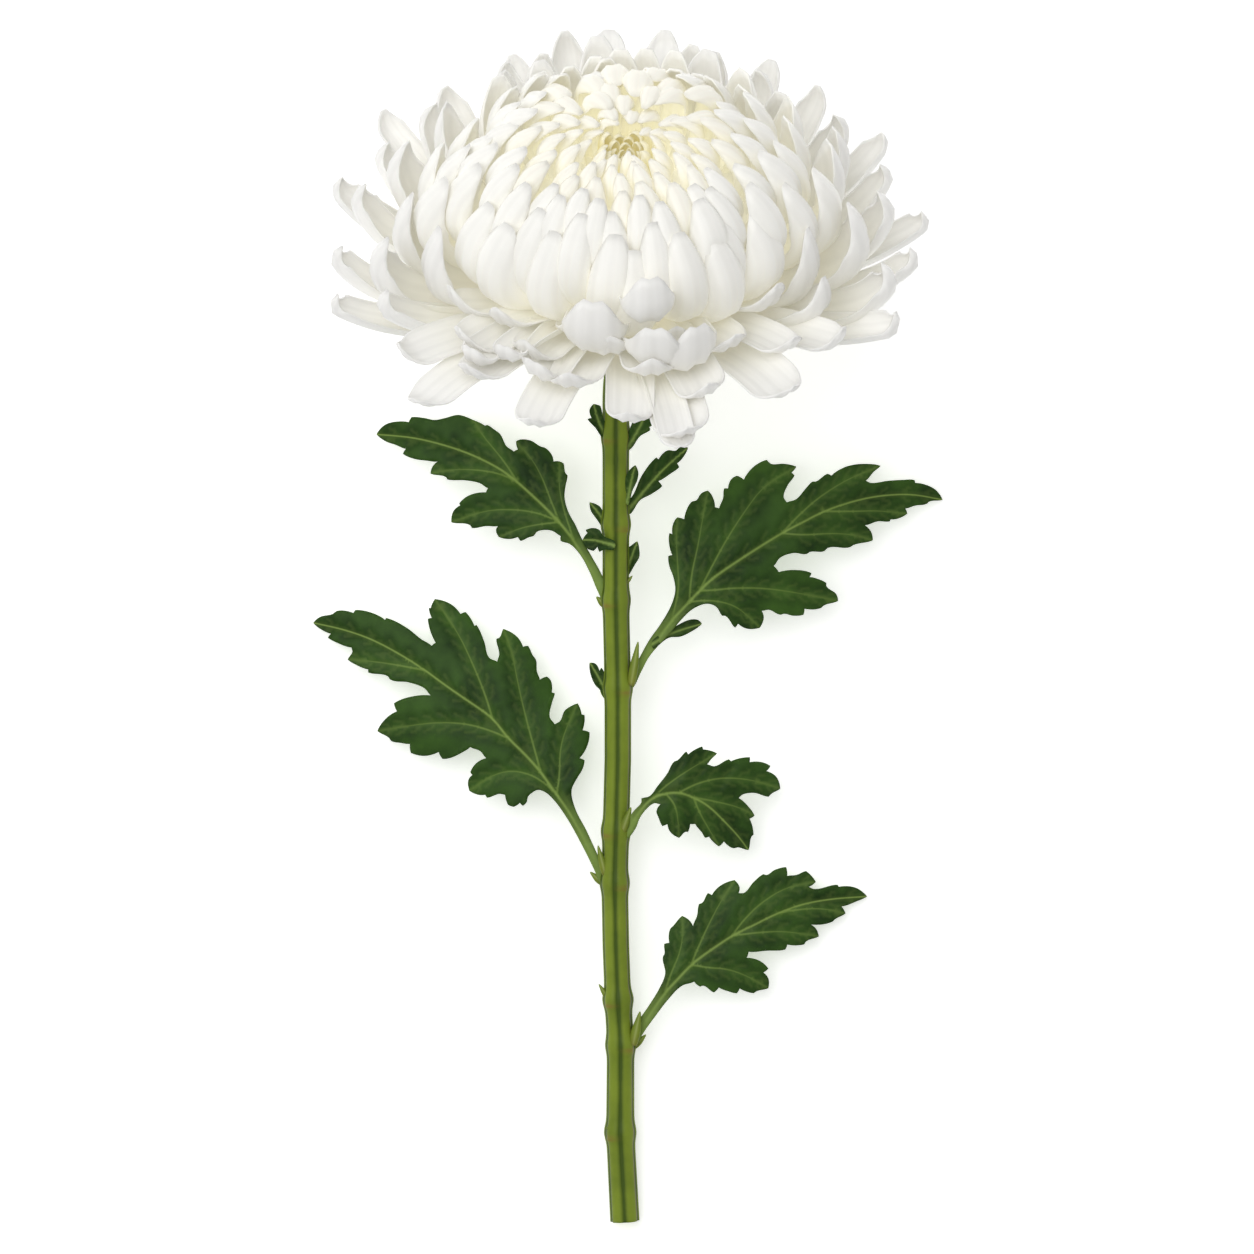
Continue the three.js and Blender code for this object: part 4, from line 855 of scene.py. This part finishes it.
MID_LEFT = {
    "midrib": [
        [-20, -262], [-31, -238], [-46, -208], [-60, -183], [-71, -168], [-87, -145], [-103, -127], [-120, -111],
        [-136, -90], [-158, -75], [-183, -58], [-203, -43], [-228, -27], [-258, -11], [-288, -1], [-317, 5],
    ],
    "lower": [
        [-24, -264], [-34, -242], [-47, -216], [-61, -191], [-74, -173], [-83, -165], [-90, -163], [-96, -166],
        [-100, -170], [-101, -175], [-105, -179], [-108, -176], [-114, -180], [-120, -178], [-123, -168],
        [-128, -167], [-141, -171], [-143, -168], [-150, -168], [-159, -164], [-160, -153], [-156, -148],
        [-158, -145], [-152, -136], [-142, -131], [-148, -124], [-158, -120], [-169, -127], [-178, -131],
        [-186, -132], [-190, -125], [-204, -129], [-218, -126], [-219, -117], [-228, -116], [-238, -114],
        [-240, -111], [-252, -104], [-244, -92], [-232, -84], [-235, -76], [-221, -70], [-198, -68], [-204, -61],
        [-220, -55], [-239, -52], [-241, -49], [-261, -45], [-261, -42], [-272, -38], [-282, -32], [-277, -24],
        [-278, -20], [-293, -15], [-302, -10], [-299, -6], [-310, -1],
    ],
    "upper": [
        [-18, -252], [-29, -230], [-41, -204], [-53, -180], [-56, -163], [-51, -152], [-45, -142], [-43, -133],
        [-48, -131], [-40, -118], [-38, -105], [-45, -103], [-43, -88], [-46, -87], [-50, -76], [-59, -80],
        [-63, -83], [-68, -94], [-73, -97], [-78, -90], [-76, -76], [-73, -66], [-76, -65], [-77, -53], [-81, -49],
        [-88, -52], [-91, -44], [-92, -32], [-95, -28], [-100, -18], [-105, -19], [-111, -9], [-125, -1],
        [-129, -10], [-132, -11], [-129, -27], [-131, -34], [-139, -30], [-144, -14], [-152, 3], [-154, 2],
        [-163, 16], [-168, 14], [-178, 24], [-194, 29], [-198, 20], [-200, 20], [-197, 10], [-201, 9], [-193, -15],
        [-197, -18], [-208, -11], [-222, 0], [-243, 10], [-244, 8], [-257, 15], [-274, 18], [-276, 15], [-293, 17],
        [-297, 14], [-310, 11],
    ],
    "lower_veins": [
        [[-71, -168], [-83, -156], [-98, -147], [-118, -143], [-138, -149], [-159, -164]],
        [[-120, -111], [-138, -103], [-163, -96], [-193, -95], [-223, -99], [-252, -104]],
        [[-203, -43], [-223, -39], [-253, -34], [-282, -32]],
    ],
    "upper_veins": [
        [[-71, -168], [-68, -147], [-68, -122], [-61, -99], [-50, -76]],
        [[-87, -145], [-94, -120], [-103, -87], [-111, -52], [-116, -24], [-125, -1]],
        [[-136, -90], [-143, -67], [-156, -35], [-171, -4], [-194, 29]],
    ],
    "heights": [[0, 10.4], [0.25, 12.5], [0.6, 10.5], [0.85, 6.5], [1, 2.4]],
}

MID_RIGHT = {
    "midrib": [
        [-5, -208], [3, -198], [11, -186], [18, -177], [26, -170], [38, -166], [52, -165], [66, -170], [82, -179],
        [98, -195], [112, -210], [122, -224],
    ],
    "lower": [
        [0, -212], [8, -202], [13, -190], [20, -181], [27, -176], [33, -177], [29, -184], [31, -190], [35, -199],
        [40, -197], [43, -205], [52, -211], [58, -205], [61, -205], [63, -197], [68, -197], [75, -206], [78, -211],
        [82, -210], [92, -220], [97, -215], [107, -222], [111, -221],
    ],
    "upper": [
        [-8, -204], [-2, -195], [7, -183], [14, -175], [14, -171], [22, -169], [30, -159], [40, -146], [47, -134],
        [50, -133], [59, -124], [61, -127], [75, -119], [76, -122], [90, -126], [84, -132], [80, -137], [87, -139],
        [102, -132], [104, -134], [123, -130], [123, -135], [135, -135], [144, -139], [140, -144], [150, -150],
        [154, -162], [145, -167], [142, -170], [127, -166], [115, -168], [112, -171], [122, -180], [128, -189],
        [123, -192], [127, -208], [125, -210],
    ],
    "lower_veins": [
        [[38, -166], [48, -177], [51, -194], [52, -211]],
        [[66, -170], [73, -187], [83, -204], [92, -220]],
    ],
    "upper_veins": [
        [[26, -170], [40, -157], [62, -142], [90, -126]],
        [[52, -165], [72, -155], [97, -150], [127, -153], [154, -162]],
        [[66, -170], [87, -174], [112, -180], [128, -189]],
    ],
    "heights": [[0, 13.6], [0.22, 17], [0.45, 17.5], [0.8, 12], [1, 7]],
    "droop": 2.6,
}

LOWER_RIGHT = {
    "midrib": [
        [2, -424], [12, -406], [24, -387], [37, -368], [50, -354], [64, -339], [77, -329], [90, -320], [105, -310],
        [127, -299], [152, -287], [177, -278], [207, -273], [242, -271],
    ],
    "lower": [
        [6, -426], [16, -408], [28, -391], [41, -374], [55, -360], [67, -356], [73, -361], [76, -360], [87, -367],
        [92, -362], [102, -366], [110, -368], [113, -363], [127, -368], [130, -366], [142, -363], [142, -353],
        [137, -347], [142, -343], [133, -335], [120, -332], [122, -326], [140, -325], [159, -324], [161, -319],
        [178, -319], [180, -316], [193, -311], [190, -303], [185, -299], [207, -296], [209, -294], [220, -288],
        [216, -281], [231, -276],
    ],
    "upper": [
        [0, -416], [8, -400], [21, -381], [33, -361], [38, -348], [36, -330], [37, -329], [37, -318], [42, -317],
        [43, -303], [46, -300], [55, -290], [62, -294], [66, -300], [70, -290], [72, -278], [75, -277], [81, -267],
        [85, -269], [93, -260], [108, -254], [113, -261], [112, -267], [117, -267], [127, -256], [137, -248],
        [140, -249], [148, -244], [160, -241], [161, -250], [170, -249], [180, -245], [190, -256], [183, -261],
        [187, -263], [212, -259], [213, -261], [230, -262],
    ],
    "lower_veins": [
        [[64, -339], [82, -342], [100, -343], [120, -350], [142, -363]],
        [[105, -310], [127, -307], [157, -305], [193, -311]],
        [[152, -287], [177, -283], [200, -283], [220, -288]],
    ],
    "upper_veins": [
        [[37, -368], [44, -347], [53, -327], [56, -307], [55, -290]],
        [[64, -339], [71, -322], [81, -300], [94, -275], [108, -254]],
        [[105, -310], [117, -294], [134, -277], [160, -261], [190, -256]],
    ],
    "heights": [[0, 7.2], [0.25, 10], [0.6, 8.5], [0.85, 5], [1, 2]],
}

STALK_LEAFLET = {
    "midrib": [[24, -17], [40, -7], [57, -1], [75, 4]],
    "lower": [[26, -21], [42, -10], [53, -9], [64, -4]],
    "upper": [[25, -13], [40, -3], [49, 2], [62, 8], [71, 8]],
    "heights": [[0, 16.4], [1, 14]],
    "fold": 0.3,
    "droop": 0,
}

SMALL_LEAVES = {
    "bract_upper_right": {
        "midrib": [[-1, 116], [10, 129], [24, 146], [40, 163], [61, 181]],
        "lower": [[3, 114], [13, 128], [24, 134], [35, 142], [31, 147], [44, 155], [52, 161], [50, 165], [56, 171]],
        "upper": [[-4, 120], [6, 134], [14, 152], [29, 171], [31, 169], [40, 178], [49, 178], [52, 181]],
        "heights": [[0, 17.6], [0.5, 18.4], [1, 15]],
    },
    "bract_bud_right": {
        "midrib": [[-1, 124], [2, 138], [5, 152], [8, 163]],
        "lower": [[1, 122], [5, 137], [10, 148], [11, 156]],
        "upper": [[-3, 125], [-2, 141], [-2, 150], [2, 158]],
        "heights": [[0, 20.8], [1, 22]],
    },
    "bract_top_right": {
        "midrib": [[-2, 177], [8, 193], [17, 210], [23, 236]],
        "lower": [[2, 178], [13, 192], [23, 198], [22, 201], [28, 205], [26, 223]],
        "upper": [[-4, 181], [1, 196], [6, 208], [15, 223]],
        "heights": [[0, 20.4], [1, 24]],
    },
    "bract_top_left": {
        "midrib": [[-20, 190], [-28, 203], [-34, 224]],
        "lower": [[-24, 190], [-32, 200], [-40, 209], [-36, 210], [-38, 218]],
        "upper": [[-17, 194], [-24, 210], [-27, 222]],
        "heights": [[0, 20.6], [1, 24]],
    },
    "bract_upper_left": {
        "midrib": [[-18, 97], [-28, 114], [-38, 126]],
        "lower": [[-22, 97], [-31, 109], [-34, 113], [-37, 118]],
        "upper": [[-16, 102], [-24, 116], [-28, 122]],
        "heights": [[0, 18.2], [1, 18]],
    },
    "bract_lobed": {
        "midrib": [[-12, 82], [-25, 86], [-34, 88], [-45, 88]],
        "lower": [[-14, 78], [-24, 78], [-28, 76], [-30, 81], [-34, 77], [-41, 80]],
        "upper": [[-13, 87], [-24, 92], [-28, 98], [-34, 100], [-42, 98], [-40, 95]],
        "heights": [[0, 21.8], [1, 21.6]],
        "droop": 6,
    },
    "bract_right": {
        "midrib": [[-4, 50], [3, 68], [10, 87]],
        "lower": [[-1, 50], [8, 64], [12, 71], [12, 79]],
        "upper": [[-6, 54], [-1, 70], [-1, 79], [3, 82]],
        "heights": [[0, 17], [1, 17.6]],
    },
    "bract_mid_left": {
        "midrib": [[-17, -74], [-27, -53], [-38, -35]],
        "lower": [[-21, -75], [-28, -62], [-32, -58], [-36, -50], [-38, -42]],
        "upper": [[-16, -68], [-21, -50], [-26, -40], [-28, -43], [-32, -36]],
        "heights": [[0, 13.4], [1, 13.4]],
    },
}

# %% [markdown]
# ### From outline to blade
#
# Between two points of the outline the edge bulges softly, and it keeps a corner at every tooth. The finer veins are
# not in the outline: they branch off the drawn ones every few millimetres, as they do on a real leaf, and run towards
# the tip of the lobe.

# %% Helpers for the leaves


def soft_edge(outline, spacing):
    """Points along a closed outline that bulge softly between its corners. The outline runs counter-clockwise."""
    steps = np.roll(outline, -1, axis=0) - outline
    headings = np.arctan2(steps[:, 1], steps[:, 0])
    result = []
    for i, (start, step) in enumerate(zip(outline, steps)):
        length = np.hypot(*step)
        before = math.remainder(headings[i] - headings[i - 1], 2 * math.pi)
        after = math.remainder(headings[(i + 1) % len(outline)] - headings[i], 2 * math.pi)
        leave = headings[i] - (before / 2 if abs(before) < 0.9 else 0.22)
        arrive = headings[i] + (after / 2 if abs(after) < 0.9 else 0.22)
        t = np.linspace(0, 1, max(2, math.ceil(length / spacing) + 1))[:-1, None]
        out = length * np.array([math.cos(leave), math.sin(leave)])
        into = length * np.array([math.cos(arrive), math.sin(arrive)])
        result.append(start + t**2 * (3 - 2 * t) * step + t * (1 - t) ** 2 * out - t**2 * (1 - t) * into)
    return np.concatenate(result)


def spaced(path, spacing):
    """Points at even distances along a path."""
    places = np.concatenate([[0], np.cumsum(np.hypot(*np.diff(path, axis=0).T))])
    at = np.linspace(0, places[-1], max(2, round(places[-1] / spacing) + 1))
    return np.stack([np.interp(at, places, path[:, k]) for k in (0, 1)], axis=1)


def rounded_path(path, spacing):
    """A path with its corners rounded off."""
    for _ in range(2):
        middle = np.stack([path[:-1] * 0.75 + path[1:] * 0.25, path[:-1] * 0.25 + path[1:] * 0.75], axis=1)
        path = np.concatenate([path[:1], middle.reshape(-1, 2)[1:-1], path[-1:]])
    return spaced(path, spacing)


def distance_to(path, spots):
    """How far each spot is from a path, and how far along the path its nearest place lies."""
    best = np.full(len(spots), np.inf)
    along = np.zeros(len(spots))
    total = 0
    for start, end in zip(path[:-1], path[1:]):
        step = end - start
        length = np.hypot(*step)
        share = np.clip((spots - start) @ step / length**2, 0, 1)
        distance = np.hypot(*(start + share[:, None] * step - spots).T)
        closer = distance < best
        best[closer] = distance[closer]
        along[closer] = total + share[closer] * length
        total += length
    return best, along / total


def inside(outline, spots):
    """Which spots lie inside a closed outline."""
    result = np.zeros(len(spots), bool)
    for (x0, y0), (x1, y1) in zip(outline, np.roll(outline, -1, axis=0)):
        if y0 != y1:
            crosses = (spots[:, 1] > min(y0, y1)) & (spots[:, 1] <= max(y0, y1))
            result ^= crosses & (spots[:, 0] < x0 + (spots[:, 1] - y0) * (x1 - x0) / (y1 - y0))
    return result


def branch_veins(path, every, length, angle):
    """Fine veins that leave a vein on both sides, slanting towards its tip."""
    branches = []
    places = spaced(path, every)
    for i in range(1, len(places) - 1):
        heading = math.atan2(*(places[i + 1] - places[i - 1])[::-1])
        shrink = 1 - 0.45 * i / len(places)
        for way in (-1, 1):
            turn = heading + way * angle
            bend = turn - way * 0.5
            first = places[i] + 0.5 * length * shrink * np.array([math.cos(turn), math.sin(turn)])
            last = first + 0.5 * length * shrink * np.array([math.cos(bend), math.sin(bend)])
            branches.append(spaced(np.array([places[i], first, last]), 0.7))
    return branches


# %% Make a leaf from its outline
BLADE = 0.75


def leaf_piece(name, parts, spacing):
    """A leaf from one or more outlines: its blade, its stalk and the veins in them."""
    points, faces, values = [], [], []
    for leaf in parts:
        rib = rounded_path(np.array(leaf["midrib"]) * SQUARE, 0.7)
        edge = np.array(leaf["lower"] + leaf["midrib"][-1:] + leaf["upper"][::-1] + leaf["midrib"][:1]) * SQUARE
        lean = np.roll(edge, -1, axis=0) - edge
        if np.sum(edge[:, 0] * lean[:, 1] - edge[:, 1] * lean[:, 0]) < 0:
            edge = edge[::-1]
        outline = soft_edge(edge, 0.7 * spacing + 0.2)
        drawn = leaf.get("lower_veins", []) + leaf.get("upper_veins", [])
        side_veins = [rounded_path(np.array(v) * SQUARE, 0.7) for v in drawn]
        fine = [b for v in side_veins for b in branch_veins(v, 3.6, 4.6, 0.85)] + branch_veins(rib, 5.5, 4.6, 0.9)
        # the map: edge first, then veins with a row to either side, then the grid between
        rows = [outline]
        for vein in [rib, *side_veins]:
            heading = np.gradient(vein, axis=0)
            normal = np.stack([-heading[:, 1], heading[:, 0]], axis=1) / np.hypot(*heading.T)[:, None]
            taper = np.linspace(1, 0.4, len(vein))[:, None] * (0.62 if vein is rib else 0.4)
            rows += [vein, vein + normal * taper, vein - normal * taper]
        rows += fine
        low, high = outline.min(axis=0), outline.max(axis=0)
        grid_x, grid_y = np.meshgrid(np.arange(low[0], high[0], spacing), np.arange(low[1], high[1], spacing * 0.87))
        grid_x[1::2] += spacing / 2
        grid = np.stack([grid_x.ravel(), grid_y.ravel()], axis=1)
        rows.append(grid[inside(outline, grid)])
        taken, kept = {}, []
        for k, row in enumerate(rows):
            near = 0.0 if k == 0 else (0.22 if k < len(rows) - 1 else 0.6 * spacing)
            valid = np.ones(len(row), bool) if k == 0 or k == len(rows) - 1 else inside(outline, row)
            for spot in row[valid]:
                cell = (int(spot[0] // 0.6), int(spot[1] // 0.6))
                beside = [(cell[0] + dx, cell[1] + dy) for dx in (-1, 0, 1) for dy in (-1, 0, 1)]
                close = (kept[j] for other in beside for j in taken.get(other, ()))
                if all(math.hypot(spot[0] - o[0], spot[1] - o[1]) > near for o in close):
                    taken.setdefault(cell, []).append(len(kept))
                    kept.append((float(spot[0]), float(spot[1])))
        ring = list(range(len(outline)))
        flat, _, triangles, _, _, _ = delaunay_2d_cdt([Vector(p) for p in kept], [], [ring], 1, 1e-4)
        spots = np.array([tuple(p) for p in flat])
        # heights: the drape of the whole blade, then veins pressed in and tissue bulging between them
        to_rib, share = distance_to(np.array(leaf["midrib"]) * SQUARE, spots)
        spread = np.clip(to_rib / 14, 0, 1.6)
        stalk_height = np.array(leaf["heights"])
        fold, droop, keel = leaf.get("fold", 0.9), leaf.get("droop", 2.2), leaf.get("keel", 1)
        z = np.interp(share, stalk_height[:, 0], stalk_height[:, 1]) + fold * np.sqrt(spread) - droop * spread**2
        near_rib, _ = distance_to(rib, spots)
        near_side, side_share = np.full(len(spots), 99.0), np.zeros(len(spots))
        for vein in side_veins:
            away, at = distance_to(vein, spots)
            side_share = np.where(away < near_side, at, side_share)
            near_side = np.minimum(near_side, away)
        near_fine = np.full(len(spots), 99.0)
        for vein in fine:
            near_fine = np.minimum(near_fine, distance_to(vein, spots)[0])
        blade = np.clip((distance_to(edge, spots)[0] + 1.5 * (share > 0.2)) / 2, 0, 1)
        rib_width = 0.55 - 0.34 * share
        side_width = 0.34 - 0.18 * side_share
        pressed_in = 0.42 * np.exp(-((near_rib / 0.9) ** 2)) * (share > 0.12)
        pressed_in += 0.34 * np.exp(-((near_side / 0.75) ** 2)) + 0.16 * np.exp(-((near_fine / 0.6) ** 2))
        nearest = np.minimum(np.minimum(near_rib, near_side), near_fine)
        z = z - blade * pressed_in + 0.18 * blade * (1 - np.exp(-((nearest / 1.3) ** 2)))
        vein = 0.85 * np.exp(-((near_rib / rib_width) ** 4))
        vein = np.maximum(vein, 0.6 * np.exp(-((near_side / side_width) ** 4)) * (1 - 0.6 * side_share))
        vein = np.maximum(vein, 0.12 * np.exp(-((near_fine / 0.3) ** 2)))
        stalk = 0.8 * np.clip(1.35 - share / 0.2, 0, 1) ** 0.6 * np.exp(-((near_rib / 2) ** 4))
        vein = np.maximum(vein, stalk * (len(side_veins) > 0))
        # painted shade: the blade is darker along its sunken midrib and fine veins and lighter on the tissue that
        # bulges between them
        shade = -0.06 + 0.2 * np.exp(-((near_side / 1.6) ** 2)) + 0.22 * np.clip(nearest / 2.5, 0, 1)
        depth = BLADE + keel * (1.3 - 1.15 * share) * np.exp(-near_rib / 1.1)
        depth += 0.35 * keel * np.exp(-((near_side / 0.8) ** 2))
        start, count = len(points), len(spots)
        points += [(x, y, h) for (x, y), h in zip(spots, z)] + [(x, y, h) for (x, y), h in zip(spots, z - depth)]
        values += list(np.stack([vein, shade, 0 * vein, 0 * vein], axis=1))
        values += list(np.stack([0.35 + 0.4 * vein, shade + 0.35, 0 * vein, 0 * vein], axis=1))
        open_edges = {}
        for a, b, c in triangles:
            faces.append((start + a, start + b, start + c))
            faces.append((start + count + a, start + count + c, start + count + b))
            for pair in ((a, b), (b, c), (c, a)):
                if pair[::-1] in open_edges:
                    del open_edges[pair[::-1]]
                else:
                    open_edges[pair] = True
        for a, b in open_edges:
            faces.append((start + b, start + a, start + count + a, start + count + b))
    return mesh_piece(name, points, faces, green_values(np.array(values)), leaf_skin, [name])


# %% Make the leaves
leaf_piece("leaf_upper_left", [UPPER_LEFT], 0.75)
leaf_piece("leaf_upper_right", [UPPER_RIGHT, STALK_LEAFLET], 0.75)
leaf_piece("leaf_mid_left", [MID_LEFT], 0.75)
leaf_piece("leaf_mid_right", [MID_RIGHT], 0.75)
leaf_piece("leaf_lower_right", [LOWER_RIGHT], 0.75)
for bract, outline in SMALL_LEAVES.items():
    leaf_piece(bract, [{"fold": 0.5, "droop": 0.6, "keel": 0.5, **outline}], 0.5)

# %% [markdown]
# ## Table and light
#
# The photograph is a studio shot on a white ground that is lit as brightly as the flower, so there is hardly any
# shadow. A broad soft light above and a bright, even surround do that.

# %% Table and light
TABLE_REACH = 1.5
PAPER_GLOW = 0.42
SURROUND = 0.5

floor_mesh = bpy.data.meshes.new("table")
corners = [(x * TABLE_REACH, y * TABLE_REACH, 0) for x, y in ((-1, -1), (1, -1), (1, 1), (-1, 1))]
floor_mesh.from_pydata(corners, [], [(0, 1, 2, 3)])
table = bpy.data.objects.new("table", floor_mesh)
bpy.context.scene.collection.objects.link(table)
paper = new_material("white_paper")
sheet = add_node(paper, "ShaderNodeBsdfPrincipled", Base_Color=linear("#fbfbfb"), Roughness=0.9)
sheet.inputs["Emission Color"].default_value = (1, 1, 1, 1)
sheet.inputs["Emission Strength"].default_value = PAPER_GLOW
add_node(paper, "ShaderNodeOutputMaterial", Surface=sheet.outputs["BSDF"])
floor_mesh.materials.append(paper)

world = bpy.data.worlds.new("studio")
world.use_nodes = True
world.node_tree.nodes["Background"].inputs["Color"].default_value = (1, 1, 1, 1)
world.node_tree.nodes["Background"].inputs["Strength"].default_value = SURROUND
bpy.context.scene.world = world


def soft_light(name, size, place, power):
    """A square soft light that faces the flower's middle."""
    data = bpy.data.lights.new(name, "AREA")
    data.shape = "SQUARE"
    data.size = size
    data.energy = power
    light = bpy.data.objects.new(name, data)
    light.location = place
    light.rotation_euler = (Vector((0, 0.05, 0)) - Vector(place)).to_track_quat("-Z", "Y").to_euler()
    bpy.context.scene.collection.objects.link(light)


soft_light("key", size=1.1, place=(-0.38, 0.36, 1.15), power=8.3)
bpy.context.scene.view_settings.view_transform = "Standard"
# white petals pass light on many times before it fades
bpy.context.scene.cycles.max_bounces = 8
bpy.context.scene.cycles.diffuse_bounces = 6
